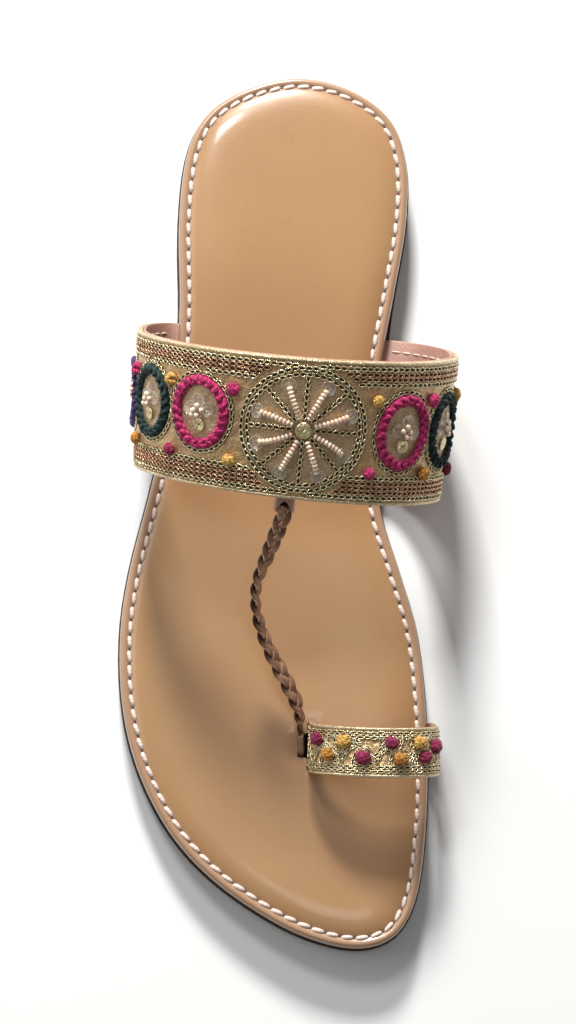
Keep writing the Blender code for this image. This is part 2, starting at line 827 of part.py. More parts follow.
def plait(band, collection):
    """The three-strand plait as one wall, with its strands raised in turn to the left and right."""
    fine, _ = plait_line(band, 200)
    length = sum((b - a).length for a, b in zip(fine, fine[1:]))
    samples = int(round(length / PLAIT_PITCH * PLAIT_STEPS)) + 1
    points, rolls = plait_line(band, samples)
    rings = []
    for i, point in enumerate(points):
        tangent = (points[min(i + 1, samples - 1)] - points[max(i - 1, 0)]).normalized()
        flat = Vector((1, 0, 0)) - tangent * tangent.x
        flat = Matrix.Rotation(math.radians(rolls[i]), 3, tangent) @ flat.normalized()
        thick = tangent.cross(flat)
        phase = 2 * math.pi * length * i / (samples - 1) / PLAIT_PITCH
        ring = []
        for across, up in PLAIT_SECTION:
            swell = 0.5 + 0.5 * math.cos(phase if across > 0 else phase + math.pi)
            wide = across * PLAIT_WIDTH * (0.84 + 0.16 * swell)
            high = up * PLAIT_THICKNESS * (0.72 + 0.38 * swell)
            ring.append(point + flat * wide + thick * high)
        rings.append(ring)
    return mesh_object("plait", loft(rings, closed=False), collection, "copper_leather", smooth_angle=60.0)


# Assembly


def sole_layers(collection, cutters, band, ring):
    """The outsole with channels for the straps' tongues, and the footbed with a slot at the toe.

    The slot is a slit for the ring's leg with a notch beside it for the plait.
    """
    outsole = mesh_object(
        "outsole", slab(outsole_outline(), outsole_under, outsole_top), collection, "rubber"
    )
    weigh_rim(outsole, "under_rim", upper=False)
    add_bevel(outsole, OUTSOLE_ROUND, 2, group="under_rim")
    footbed = mesh_object(
        "footbed", slab(footbed_outline(), footbed_under, footbed_top), collection, "footbed"
    )
    weigh_rim(footbed, "top_rim", upper=True)
    weigh_rim(footbed, "bottom_rim", upper=False)
    add_bevel(footbed, FOOTBED_TOP_ROUND, 2, group="top_rim")
    add_bevel(footbed, FOOTBED_BOTTOM_ROUND, 2, group="bottom_rim")

    slot_outer = plait_slot_across() + PLAIT_THICKNESS * 0.55 + PIECE_GAP
    channels = {
        "band channel inner": (band, False, CHANNEL_BEYOND),
        "band channel outer": (band, True, CHANNEL_BEYOND),
        "ring channel inner": (ring, False, CHANNEL_BEYOND),
        "ring channel outer": (ring, True, slot_outer - ring.heel_edge.outer_foot),
    }
    for name, (strap, outer, reach) in channels.items():
        depth = strap.thickness + 2 * PIECE_GAP
        plan = strap_channel(strap, outer, reach)
        cutter = mesh_object(
            name,
            slab(plan, lambda y, d=depth: outsole_top(y) - d, footbed_top),
            cutters,
        )
        add_cut(outsole, cutter)

    slot_inner = ring.heel_edge.outer_foot - PIECE_GAP
    slit_outer = RING_SLOT_ACROSS + RING_THICKNESS + RING_EDGE_RISE + PIECE_GAP
    slit_rear = RING_ALONG - PIECE_GAP
    slit_front = RING_ALONG + RING_STRAP_WIDTH + RING_LEAN * FOOTBED_THICKNESS + 2 * PIECE_GAP
    notch_rear = plait_slot_along() - PLAIT_WIDTH * 0.5 - 5 * PIECE_GAP
    notch_front = plait_slot_along() + PLAIT_WIDTH * 0.5 + 2 * PIECE_GAP
    plan = [
        (slot_inner, slit_rear),
        (slit_outer, slit_rear),
        (slit_outer, notch_rear),
        (slot_outer, notch_rear),
        (slot_outer, notch_front),
        (slit_outer, notch_front),
        (slit_outer, slit_front),
        (slot_inner, slit_front),
    ]
    slot_shape = slab(plan, lambda y: footbed_under(y) - FOOTBED_THICKNESS, lambda y: 2 * footbed_top(y))
    add_cut(footbed, mesh_object("toe slot", slot_shape, cutters))
    for cutter in cutters.objects:
        cutter.hide_render = True
        cutter.display_type = "WIRE"


def band_trim(collection, band):
    """The rosette, the six yarn rings and the knots between them."""
    cloth = StrapCloth(band)
    rosette(cloth, collection)
    for side, sign, aside in (("outer", 1, OUTER_RINGS_ASIDE), ("inner", -1, INNER_RINGS_ASIDE)):
        for k, wool in enumerate(("pink", "green", "purple")):
            distance = TRIM_SHIFT + sign * (FIRST_MOTIF + k * MOTIF_PITCH)
            yarn_ring(f"yarn_ring_{wool}_{side}", cloth, distance, aside, wool, collection)
    for side, k, heel_wool, toe_wool in BAND_KNOTS:
        sign = 1 if side == "outer" else -1
        distance = TRIM_SHIFT + sign * (FIRST_MOTIF + (k - 0.5) * MOTIF_PITCH)
        for end, aside, wool in (("heel", KNOT_TO_HEEL, heel_wool), ("toe", KNOT_TO_TOE, toe_wool)):
            knot(f"band_knot_{side}_{k + 1}_{end}", cloth, distance, aside, wool, collection)


def ring_trim(collection, ring):
    """The knots of the toe ring."""
    cloth = StrapCloth(ring)
    for k, (distance, aside, wool) in enumerate(RING_KNOTS):
        knot(
            f"ring_knot_{k + 1}", cloth, distance * RING_STRAP_WIDTH, aside * RING_STRAP_WIDTH, wool, collection
        )


def main():
    clear_scene()
    sandal = new_collection("Kolhapuri sandal")
    cutters = new_collection("Cutters")
    band = instep_strap()
    ring = toe_strap()
    sole_layers(sandal, cutters, band, ring)
    strap_solid(
        "instep_band", band, STRAP_STEPS, EDGE_CORD_WIDTH, EDGE_CORD_RISE, sandal, "gold_cloth"
    )
    strap_solid("toe_ring", ring, RING_STEPS, RING_EDGE_WIDTH, RING_EDGE_RISE, sandal, "gold_cloth")
    plait_tab(band, sandal)
    plait(band, sandal)
    band_trim(sandal, band)
    ring_trim(sandal, ring)


main()
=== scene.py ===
"""The looks of a kolhapuri sandal for the right foot: leather, cloth, thread, wool, beads, light and camera.

Lengths are metres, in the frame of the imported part: +X to the outer side, +Y to the toe, +Z up. On a strap, a
place is given as distance (round the strap from its crown), aside (across it, towards the toe) and lift (off it).
"""
import logging
import math
from collections.abc import Callable, Mapping, Sequence
from dataclasses import dataclass, replace
from enum import Enum
from functools import cached_property
from typing import Any

import bmesh
import bpy
import numpy as np
from mathutils import Matrix, Vector, geometry


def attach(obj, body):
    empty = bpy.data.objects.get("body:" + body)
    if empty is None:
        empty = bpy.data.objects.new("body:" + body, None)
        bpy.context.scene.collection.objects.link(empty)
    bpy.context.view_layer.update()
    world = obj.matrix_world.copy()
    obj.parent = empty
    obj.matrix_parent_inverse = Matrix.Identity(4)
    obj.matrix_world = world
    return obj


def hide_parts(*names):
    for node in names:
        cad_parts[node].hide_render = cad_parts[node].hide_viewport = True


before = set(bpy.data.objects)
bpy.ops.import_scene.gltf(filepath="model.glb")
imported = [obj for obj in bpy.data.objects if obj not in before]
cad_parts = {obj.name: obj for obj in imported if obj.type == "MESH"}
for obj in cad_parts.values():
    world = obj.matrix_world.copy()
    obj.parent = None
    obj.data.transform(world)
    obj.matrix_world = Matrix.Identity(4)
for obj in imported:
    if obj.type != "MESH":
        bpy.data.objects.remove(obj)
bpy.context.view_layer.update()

Colour = tuple[float, float, float]
Array = np.ndarray
Pair = tuple[float, float]
Pieces = list[bpy.types.Object]

LOG = logging.getLogger("sandal")
MM = 0.001
FULL_TURN = 2 * math.pi


class Slot(Enum):
    """The material slots of the record."""

    OUTSOLE = "outsole_rubber"
    FOOTBED = "footbed_leather"
    CLOTH = "gold_cloth"
    COPPER = "copper_leather"
    STITCHED = "stitched_gold"


class Wool(Enum):
    """The wools of the embroidery, each with its slot and its colour."""

    PINK = ("wool_pink", (0.52, 0.018, 0.135))
    ROSE = ("wool_rose", (0.33, 0.012, 0.070))
    GREEN = ("wool_green", (0.001, 0.024, 0.020))
    PURPLE = ("wool_purple", (0.060, 0.028, 0.150))
    YELLOW = ("wool_yellow", (0.70, 0.40, 0.090))
    ORANGE = ("wool_orange", (0.62, 0.27, 0.035))

    @property
    def slot(self) -> str:
        """The name of the wool's slot."""
        return self.value[0]

    @property
    def colour(self) -> Colour:
        """The wool's own colour."""
        return self.value[1]


Sewn = tuple[str, Wool, Pair]


# Shader expressions


class Channel:
    """An output socket that takes part in Python expressions, each of which adds its Math nodes."""

    def __init__(self, tree: "FinishTree", socket: bpy.types.NodeSocket) -> None:
        """Keeps the tree that new nodes go to, and the socket."""
        self.tree = tree
        self.socket = socket

    def __add__(self, other: "Operand") -> "Channel":
        """self + other."""
        return self.tree.math("ADD", self, other)

    def __sub__(self, other: "Operand") -> "Channel":
        """self - other."""
        return self.tree.math("SUBTRACT", self, other)

    def __rsub__(self, other: "Operand") -> "Channel":
        """other - self."""
        return self.tree.math("SUBTRACT", other, self)

    def __mul__(self, other: "Operand") -> "Channel":
        """self * other."""
        return self.tree.math("MULTIPLY", self, other)

    def __truediv__(self, other: "Operand") -> "Channel":
        """self / other."""
        return self.tree.math("DIVIDE", self, other)

    def __rtruediv__(self, other: "Operand") -> "Channel":
        """other / self."""
        return self.tree.math("DIVIDE", other, self)

    def __gt__(self, other: "Operand") -> "Channel":
        """1 where self is over other, else 0."""
        return self.tree.math("GREATER_THAN", self, other)

    def __abs__(self) -> "Channel":
        """The size of self."""
        return self.tree.math("ABSOLUTE", self)

    def sine(self) -> "Channel":
        """The sine of self."""
        return self.tree.math("SINE", self)

    def between(self, low: float, high: float, at_low: float = 0.0, at_high: float = 1.0) -> "Channel":
        """Self carried smoothly from low and high to at_low and at_high."""
        return self.tree.node(
            "ShaderNodeMapRange",
            {"interpolation_type": "SMOOTHSTEP", "clamp": True},
            {"Value": self, "From Min": low, "From Max": high, "To Min": at_low, "To Max": at_high},
        )

    __radd__ = __add__
    __rmul__ = __mul__


Operand = Channel | float


class FinishTree:
    """The node tree of one finish, with a Principled shader at its end."""

    def __init__(self, name: str) -> None:
        """Makes the material and clears its tree.

        Args:
            name: the name of the material.
        """
        material = bpy.data.materials.new(name)
        material.use_nodes = True
        self.nodes, self.links = material.node_tree.nodes, material.node_tree.links
        self.nodes.clear()
        self.shader = self.nodes.new("ShaderNodeBsdfPrincipled")
        output = self.nodes.new("ShaderNodeOutputMaterial")
        self.links.new(self.shader.outputs[0], output.inputs["Surface"])

    def node(
        self, kind: str, settings: Mapping[str, Any] | None = None,
        inputs: Mapping[str | int, Any] | None = None, output: str | int = 0,
    ) -> Channel:
        """Adds a node.

        Args:
            kind: the node's type.
            settings: its own settings, set first; "stops" are the stops of a ramp.
            inputs: a value or a Channel for each socket named.
            output: the output that is wanted.

        Returns:
            That output.
        """
        made = self.nodes.new(kind)
        for name, value in (settings or {}).items():
            if name == "stops":
                for stop in range(len(value) - 2):
                    made.color_ramp.elements.new(0.5)
                for element, (place, colour) in zip(made.color_ramp.elements, value):
                    element.position = place
                    element.color = (*colour, 1.0)
            else:
                setattr(made, name, value)
        for name, value in (inputs or {}).items():
            self.feed(made.inputs[name], value)
        return Channel(self, made.outputs[output])

    def feed(self, socket: bpy.types.NodeSocket, value: Any) -> None:
        """Links a Channel to a socket, or sets a number or a colour on it.

        Args:
            socket: the socket that takes the value.
            value: a Channel, a number, or three or four numbers.
        """
        if isinstance(value, Channel):
            self.links.new(value.socket, socket)
        elif isinstance(value, (int, float)):
            socket.default_value = value
        else:
            parts = tuple(value)
            wanted = len(socket.default_value)
            socket.default_value = parts if len(parts) == wanted else (*parts, 1.0)

    def math(self, operation: str, first: Operand, second: Operand | None = None) -> Channel:
        """The result of a Math node with one value or two."""
        values = {0: first} if second is None else {0: first, 1: second}
        return self.node("ShaderNodeMath", {"operation": operation}, values)

    def mix(self, factor: Operand, first: Channel | Colour, second: Channel | Colour) -> Channel:
        """Mixes two colours, with factor as the share of the second."""
        return self.node("ShaderNodeMix", {"data_type": "RGBA"}, {0: factor, 6: first, 7: second}, output=2)

    def place(self) -> Channel:
        """The place in the object's own space, in metres."""
        return self.node("ShaderNodeTexCoord", output="Object")

    def cloth_place(self) -> tuple[Channel, Channel]:
        """The place on the flat cloth or thread, in metres, as two values."""
        flat = self.node("ShaderNodeSeparateXYZ", None, {0: self.node("ShaderNodeUVMap", {"uv_map": "cloth"})})
        return flat, Channel(self, flat.socket.node.outputs[1])

    def tone(self) -> Channel:
        """The tone that the maker gave to each point, from which some finishes paint shade and highlights."""
        return self.node("ShaderNodeAttribute", {"attribute_name": "tone"}, output="Fac")

    def noise(self, grain: float, detail: float = 3.0, rough: float = 0.55, stretch: Colour = (1, 1, 1)) -> Channel:
        """Noise round 0.5 through the object's space, whose features are grain metres wide."""
        scaled = self.node("ShaderNodeVectorMath", {"operation": "MULTIPLY"}, {0: self.place(), 1: stretch})
        return self.node(
            "ShaderNodeTexNoise", None, {"Vector": scaled, "Scale": 1 / grain, "Detail": detail, "Roughness": rough}
        )

    def cells(self, density: float, feature: str) -> Channel:
        """Cells through the object's space, density of them to a metre."""
        return self.node("ShaderNodeTexVoronoi", {"feature": feature}, {"Vector": self.place(), "Scale": density})

    def bump(self, height: Channel, depth: float) -> Channel:
        """The normal for a height from 0 to 1, where 1 stands for depth metres."""
        return self.node("ShaderNodeBump", None, {"Height": height, "Distance": depth, "Strength": 1.0})

    def set(self, **sockets: Any) -> None:
        """Feeds the shader's sockets, whose names are written with _ for a space."""
        for name, value in sockets.items():
            self.feed(self.shader.inputs[name.replace("_", " ").title()], value)


# Finishes


class Finish:
    """A finish that makes its material once."""

    name: str

    @cached_property
    def tree(self) -> FinishTree:
        """The finish's own node tree."""
        return FinishTree(self.name)

    def material(self) -> bpy.types.Material:
        """Makes the material on its first use.

        Returns:
            The material.
        """
        if self.name not in bpy.data.materials:
            self.dress()
        return bpy.data.materials[self.name]

    def dress(self) -> None:
        """Feeds the shader's sockets."""
        raise NotImplementedError


@dataclass(frozen=True)
class FootbedLeather(Finish):
    """Smooth glossy tan leather over a thin pad, paler on the rolled rim, with painted shade in the stitched groove and
    round the toe slot.
    """

    name: str = "footbed leather"
    tan: Colour = (0.430, 0.245, 0.113)
    warm: Colour = (0.385, 0.203, 0.088)
    rim: Colour = (0.400, 0.245, 0.158)
    groove: Colour = (0.190, 0.096, 0.050)

    def dress(self) -> None:
        """Feeds the shader's sockets."""
        tree = self.tree
        cloud = tree.noise(0.055, 2.0, 0.5).between(0.35, 0.68)
        fleck = tree.noise(0.0016, 3.0, 0.6)
        colour = tree.mix(cloud, self.tan, self.warm)
        colour = tree.mix(fleck.between(0.55, 0.8, 0.0, 0.12), colour, self.groove)
        tone = tree.tone()
        colour = tree.mix(tone.between(0.05, 0.5), colour, self.rim)
        # Painted shade: high tones, in the stitched groove and at the toe slot's edge and wall, take the dark colour
        colour = tree.mix(tone.between(0.55, 1.0, 0.0, 0.85), colour, self.groove)
        grain = tree.noise(0.00045, 3.0, 0.65)
        crease = tree.noise(0.009, 2.0, 0.5, (1.0, 0.35, 1.0))
        height = grain * 0.25 + crease * 0.75
        tree.set(
            base_color=colour,
            roughness=grain * 0.10 + cloud * 0.05 + 0.28,
            coat_weight=0.75,
            coat_roughness=0.14,
            normal=tree.bump(height, 0.00016),
        )


@dataclass(frozen=True)
class TissueCloth(Finish):
    """Gold tissue: a plain weave of metal thread with a crinkled sheen, its colour carrying painted shade in the folds
    and between the threads and a painted highlight on the thread crowns.
    """

    name: str = "gold tissue"
    light: Colour = (0.76, 0.53, 0.285)
    dark: Colour = (0.36, 0.215, 0.10)
    metallic: float = 0.60
    roughness: float = 0.36
    thread: float = 0.00042
    crinkle: float = 0.00035

    def dress(self) -> None:
        """Feeds the shader's sockets."""
        tree = self.tree
        along, across = tree.cloth_place()
        turn = math.pi / self.thread
        warp, weft = (along * turn).sine(), (across * turn).sine()
        over = warp * weft > 0.0
        weave = abs(warp) * over + abs(weft) * (1 - over)
        folds = tree.noise(0.0034, 3.0, 0.6)
        glint = tree.noise(0.0007, 2.0, 0.7).between(0.42, 0.66)
        # Painted light: the colour follows the fold relief and the thread crowns, pale on their tops and dark in the
        # hollows
        shade = folds.between(0.25, 0.75) * 0.5 + weave * 0.35 + 0.08
        normal = tree.bump(folds, self.crinkle * 3)
        weave_bump = tree.node(
            "ShaderNodeBump", None, {"Height": weave, "Distance": 0.00006, "Strength": 0.7, "Normal": normal}
        )
        tree.set(
            base_color=tree.mix(shade, self.dark, self.light),
            metallic=self.metallic,
            roughness=glint * -0.14 + weave * 0.06 + self.roughness,
            normal=weave_bump,
        )


@dataclass(frozen=True)
class MetalThread(Finish):
    """Metal thread, twisted, with dull and bright stretches."""

    name: str = "gold thread"
    light: Colour = (1.0, 0.91, 0.62)
    dark: Colour = (0.54, 0.40, 0.185)
    metallic: float = 0.72
    twist: float = 0.0006

    def dress(self) -> None:
        """Feeds the shader's sockets."""
        tree = self.tree
        along, around = tree.cloth_place()
        ply = (along * (FULL_TURN / self.twist) + around * FULL_TURN).sine() * 0.5 + 0.5
        dull = tree.noise(0.0026, 3.0, 0.65).between(0.36, 0.64)
        # Painted light: the twist's ridges are painted paler and its grooves darker; the dull and bright stretches vary
        # at random
        shade = dull * 0.6 + ply * 0.4
        tree.set(
            base_color=tree.mix(shade, self.dark, self.light),
            metallic=self.metallic,
            roughness=dull * -0.14 + 0.31,
            normal=tree.bump(ply, 0.00008),
        )


@dataclass(frozen=True)
class WoolYarn(Finish):
    """Soft wool yarn with its ply and loose fibres."""

    wool: Wool
    depth: float = 1.0

    @property
    def name(self) -> str:
        """The wool's name."""
        return f"{self.wool.name.lower()} wool" + (" dyed deep" if self.depth < 1 else "")

    def dress(self) -> None:
        """Feeds the shader's sockets."""
        tree = self.tree
        along, around = tree.cloth_place()
        ply = (along * (FULL_TURN / 0.0011) + around * (FULL_TURN * 2)).sine() * 0.5 + 0.5
        fibre = tree.noise(0.00024, 4.0, 0.7)
        patch = tree.noise(0.0022, 2.0, 0.5)
        # Painted light: the fibre and ply relief carries the colour between a shaded copy (deep) and a lit copy (lit),
        # painted shade and highlight; the patches vary at random
        shade = fibre * 0.45 + ply * 0.25 + patch * 0.3
        colour = tuple(part * self.depth for part in self.wool.colour)
        deep = tuple(part * 0.42 for part in colour)
        lit = tuple(min(1.0, part * 1.22 + 0.012) for part in colour)
        tree.set(
            base_color=tree.mix(shade.between(0.30, 0.72), deep, lit),
            roughness=0.92,
            sheen_weight=0.30,
            sheen_roughness=0.45,
            sheen_tint=tuple(min(1.0, part + 0.35) for part in colour),
            normal=tree.bump(fibre * 0.6 + ply * 0.4, 0.00020),
        )


@dataclass(frozen=True)
class CopperLeather(Finish):
    """Satin metallic leather of the plait, mottled at random, with its pale edge colour as a painted highlight on
    raised edges and its crease colour as painted shade in low places.
    """

    name: str = "copper leather"
    light: Colour = (0.46, 0.250, 0.145)
    dark: Colour = (0.190, 0.088, 0.047)
    crease: Colour = (0.040, 0.017, 0.010)
    edge: Colour = (0.66, 0.44, 0.33)

    def dress(self) -> None:
        """Feeds the shader's sockets."""
        tree = self.tree
        worn = tree.noise(0.0030, 3.0, 0.6).between(0.34, 0.66)
        grain = tree.noise(0.0004, 3.0, 0.6)
        colour = tree.mix(worn * 0.6 + grain * 0.3, self.dark, self.light)
        # By the tone: low tones take the pale edge colour, a painted highlight, and high tones the crease colour,
        # painted shade
        tone = tree.tone()
        colour = tree.mix(tone.between(0.0, 0.2, 0.85, 0.0), colour, self.edge)
        colour = tree.mix(tone.between(0.2, 1.0), colour, self.crease)
        tree.set(
            base_color=colour,
            metallic=0.35,
            roughness=grain * 0.12 + 0.27,
            normal=tree.bump(grain, 0.00010),
        )


@dataclass(frozen=True)
class Plain(Finish):
    """A finish in two mottled tones, whose relief and gloss follow one grain."""

    name: str
    first: Colour
    second: Colour
    mottle: Callable[[FinishTree], Channel]
    grain: Callable[[FinishTree], Channel]
    relief: float
    roughness: Pair
    constants: tuple[tuple[str, float], ...] = ()

    def dress(self) -> None:
        """Feeds the shader's sockets."""
        tree, (swing, base) = self.tree, self.roughness
        grain = self.grain(tree)
        tree.set(
            base_color=tree.mix(self.mottle(tree), self.first, self.second),
            roughness=grain * swing + base if swing else base,
            normal=tree.bump(grain, self.relief),
            **dict(self.constants),
        )


@dataclass(frozen=True)
class StitchThread(Finish):
    """Pale waxed sewing thread."""

    name: str = "stitch thread"
    light: Colour = (0.84, 0.70, 0.62)
    dark: Colour = (0.52, 0.36, 0.29)

    def dress(self) -> None:
        """Feeds the shader's sockets."""
        tree = self.tree
        along, around = tree.cloth_place()
        ply = (along * (FULL_TURN / 0.0009) + around * FULL_TURN).sine() * 0.5 + 0.5
        # Painted shade: the ply's grooves are painted darker than its ridges
        tree.set(
            base_color=tree.mix(ply * 0.25 + 0.75, self.dark, self.light),
            roughness=0.42,
            coat_weight=0.25,
            normal=tree.bump(ply, 0.00003),
        )


@dataclass(frozen=True)
class ClearSequin(Finish):
    """Clear cupped sequins with a painted oily shimmer."""

    name: str = "clear sequin"

    def dress(self) -> None:
        """Feeds the shader's sockets."""
        tree = self.tree
        shimmer = tree.noise(0.0016, 2.0, 0.5)
        # Painted reflection: the noise picks fixed colours that stand in for the sequins' iridescent shimmer
        ramp = tree.node(
            "ShaderNodeValToRGB",
            {
                "stops": (
                    (0.30, (0.52, 0.55, 0.62)),
                    (0.45, (0.80, 0.72, 0.58)),
                    (0.58, (0.74, 0.54, 0.44)),
                    (0.72, (0.62, 0.66, 0.60)),
                )
            },
            {"Fac": shimmer},
        )
        tree.set(
            base_color=ramp,
            metallic=0.35,
            roughness=shimmer * 0.06 + 0.09,
            alpha=0.26,
            coat_weight=1.0,
            coat_roughness=0.04,
        )


@dataclass(frozen=True)
class MouldedRubber(Finish):
    """Dark brown moulded rubber with a fine ribbed tread and a matt skin."""

    name: str = "outsole rubber"
    light: Colour = (0.062, 0.040, 0.031)
    dark: Colour = (0.026, 0.017, 0.014)

    def dress(self) -> None:
        """Feeds the shader's sockets."""
        tree = self.tree
        scuff = tree.noise(0.004, 4.0, 0.65)
        skin = tree.noise(0.0005, 3.0, 0.6)
        ribs = tree.node(
            "ShaderNodeTexWave",
            {"wave_type": "BANDS", "bands_direction": "DIAGONAL", "wave_profile": "SIN"},
            {"Vector": tree.place(), "Scale": 110.0, "Distortion": 0.0},
        )
        tree.set(
            base_color=tree.mix(scuff.between(0.35, 0.7), self.dark, self.light),
            roughness=scuff * 0.18 + 0.58,
            normal=tree.bump(ribs * 0.75 + skin * 0.25, 0.00035),
        )


@dataclass(frozen=True)
class PaleFloor(Finish):
    """The studio's plain pale floor."""

    name: str = "floor"

    def dress(self) -> None:
        """Feeds the shader's sockets."""
        tree = self.tree
        cloud = tree.noise(0.25, 2.0, 0.5)
        tree.set(base_color=tree.mix(cloud, (0.86, 0.86, 0.86), (0.88, 0.88, 0.88)), roughness=0.9)


GOLD_THREAD = MetalThread()
COPPER_THREAD = MetalThread("copper thread", (0.86, 0.56, 0.35), (0.38, 0.195, 0.105))
GOLD_CLOTH = TissueCloth()
# Soft matt lining leather with a fine pebble
LINING = Plain(
    "pink lining", (0.47, 0.275, 0.220), (0.37, 0.200, 0.155),
    lambda tree: tree.noise(0.012, 3.0, 0.5).between(0.3, 0.7), lambda tree: tree.cells(1500.0, "SMOOTH_F1"),
    0.00010, (0.12, 0.50),
)
# Seed beads with a pearl coat over a blush or cream body
PEARL = Plain(
    "pearl", (0.78, 0.53, 0.38), (0.90, 0.76, 0.58),
    lambda tree: tree.noise(0.0021, 2.0, 0.5).between(0.38, 0.62), lambda tree: tree.noise(0.0005),
    0.00002, (0.0, 0.24), (("metallic", 0.12), ("coat_weight", 0.8), ("coat_roughness", 0.06)),
)
# Bright foil of the centre button and the solid sequins
FOIL = Plain(
    "pale foil", (0.96, 0.85, 0.52), (0.52, 0.40, 0.19), lambda tree: tree.cells(1100.0, "F1"),
    lambda tree: tree.cells(1100.0, "F1"), 0.00022, (0.2, 0.24), (("metallic", 0.72),),
)
# Painted shade: a dark sheet under the thread loops and dark discs at the needle holes, standing in for the shade there
SHADE = Plain(
    "shade", (0.032, 0.017, 0.006), (0.110, 0.062, 0.021),
    lambda tree: tree.noise(0.0009, 3.0, 0.6).between(0.4, 0.7), lambda tree: tree.noise(0.0009, 3.0, 0.6),
    0.00006, (0.2, 0.6),
)
NEEDLE_SHADE = replace(SHADE, name="needle shade", first=(0.095, 0.048, 0.026), second=(0.20, 0.105, 0.055))
PEACH_CLOTH = TissueCloth("peach tissue", (0.66, 0.48, 0.29), (0.36, 0.235, 0.125), 0.45, 0.34, 0.00042, 0.00028)
PIPING = TissueCloth("edge piping", (0.80, 0.68, 0.45), (0.42, 0.30, 0.16), 0.62, 0.32, 0.00042, 0.0002)


# Meshes in the making


class Blank:
    """A mesh in the making: points, faces, a place on the cloth for each corner and a tone for each point."""

    def __init__(self) -> None:
        """Starts with nothing in it."""
        self.points: list[Array] = []
        self.tones: list[Array] = []
        self.faces: list[Array] = []
        self.corners: list[Array] = []
        self.count = 0

    def add(self, points: Array, faces: Array, corners: Array, tone: Array | float = 0.0) -> None:
        """Adds points and the faces between them.

        Args:
            points: (n, 3) places.
            faces: (k, 3 or 4) numbers of points.
            corners: (k, 3 or 4, 2) places on the cloth.
            tone: one tone, or one for each point.
        """
        self.points.append(points.reshape(-1, 3))
        self.tones.append(np.broadcast_to(np.asarray(tone, float).ravel(), (len(self.points[-1]),)))
        self.faces.append(faces + self.count)
        self.corners.append(corners)
        self.count += len(self.points[-1])

    def add_grid(
        self, grid: Array, rows: Array | None = None, columns: Array | None = None,
        closed_rows: bool = False, closed_columns: bool = False, tone: Array | float = 0.0,
    ) -> None:
        """Adds one or more grids of points as quads.

        Args:
            grid: (..., m, n, 3) places; each block of m by n is a grid of its own.
            rows: the cloth's first value at each row, with one more where the rows close.
            columns: the cloth's second value at each column, with one more where the columns close.
            closed_rows: whether the last row joins the first.
            closed_columns: whether the last column joins the first.
            tone: one tone, or one for each point.
        """
        m, n = grid.shape[-3:-1]
        blocks = grid.reshape(-1, m * n, 3)
        row_spans, column_spans = (m if closed_rows else m - 1), (n if closed_columns else n - 1)
        rows = np.linspace(0, 1, row_spans + 1) if rows is None else rows
        columns = np.linspace(0, 1, column_spans + 1) if columns is None else columns
        i, j = (part.ravel() for part in np.meshgrid(np.arange(row_spans), np.arange(column_spans), indexing="ij"))
        steps = ((0, 0), (1, 0), (1, 1), (0, 1))
        quads = np.stack([((i + a) % m) * n + (j + b) % n for a, b in steps], axis=1)
        corners = np.stack([joined(rows[i + a], columns[j + b]) for a, b in steps], axis=1)
        starts = np.arange(len(blocks))[:, None, None] * (m * n)
        faces = (quads[None] + starts).reshape(-1, 4)
        self.add(blocks, faces, np.tile(corners, (len(blocks), 1, 1)), tone)

    def add_fan(self, ring: Array, centre: Array, flip: bool = False) -> None:
        """Closes a ring of points with a fan round a centre.

        Args:
            ring: (n, 3) places.
            centre: the middle of the fan.
            flip: whether the fan faces the other way.
        """
        count = len(ring)
        k = np.arange(count)
        faces = np.stack([k, (k + 1) % count, np.full(count, count)], axis=1)
        self.add(np.vstack([ring, centre]), faces[:, ::-1] if flip else faces, np.zeros((count, 3, 2)))

    def build(self, name: str, finish: Finish, slot: str, weld: bool = False) -> bpy.types.Object:
        """Makes the object, smooth, with its finish, riding on the sandal.

        Args:
            name: its name.
            finish: its finish.
            slot: the record's slot; not used.
            weld: whether points at one place become one.

        Returns:
            The object.
        """
        mesh = bpy.data.meshes.new(name)
        points = np.concatenate(self.points).astype(np.float32)
        sizes = np.concatenate([np.full(len(faces), faces.shape[1]) for faces in self.faces])
        mesh.vertices.add(len(points))
        mesh.vertices.foreach_set("co", points.ravel())
        mesh.loops.add(int(sizes.sum()))
        mesh.loops.foreach_set("vertex_index", np.concatenate([faces.ravel() for faces in self.faces]))
        mesh.polygons.add(len(sizes))
        mesh.polygons.foreach_set("loop_start", np.concatenate([[0], np.cumsum(sizes)[:-1]]))
        mesh.update(calc_edges=True)
        cloth = mesh.uv_layers.new(name="cloth")
        cloth.data.foreach_set("uv", np.concatenate([c.ravel() for c in self.corners]).astype(np.float32))
        tone = mesh.attributes.new("tone", "FLOAT", "POINT")
        tone.data.foreach_set("value", np.concatenate(self.tones).astype(np.float32))
        if weld:
            shape = bmesh.new()
            shape.from_mesh(mesh)
            bmesh.ops.remove_doubles(shape, verts=shape.verts, dist=1e-6)
            bmesh.ops.recalc_face_normals(shape, faces=shape.faces)
            shape.to_mesh(mesh)
            shape.free()
        mesh.shade_smooth()
        mesh.materials.append(finish.material())
        piece = bpy.data.objects.new(name, mesh)
        bpy.context.scene.collection.objects.link(piece)
        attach(piece, "root")
        return piece


def build_all(slot: Slot, *parts: tuple[str, Blank, Finish]) -> Pieces:
    """Makes the objects of several meshes, each with its own finish, handing one slot to each build."""
    return [blank.build(name, finish, slot.value) for name, blank, finish in parts]


def unit(vectors: Array) -> Array:
    """The same directions, of length 1."""
    return vectors / np.linalg.norm(vectors, axis=-1, keepdims=True)


def joined(*parts: Array | float) -> Array:
    """Places from their coordinates, which are spread to one shape."""
    return np.stack(np.broadcast_arrays(*parts), axis=-1)


def circle(count: int) -> Array:
    """Evenly spaced turns round a circle."""
    return np.arange(count) * (FULL_TURN / count)


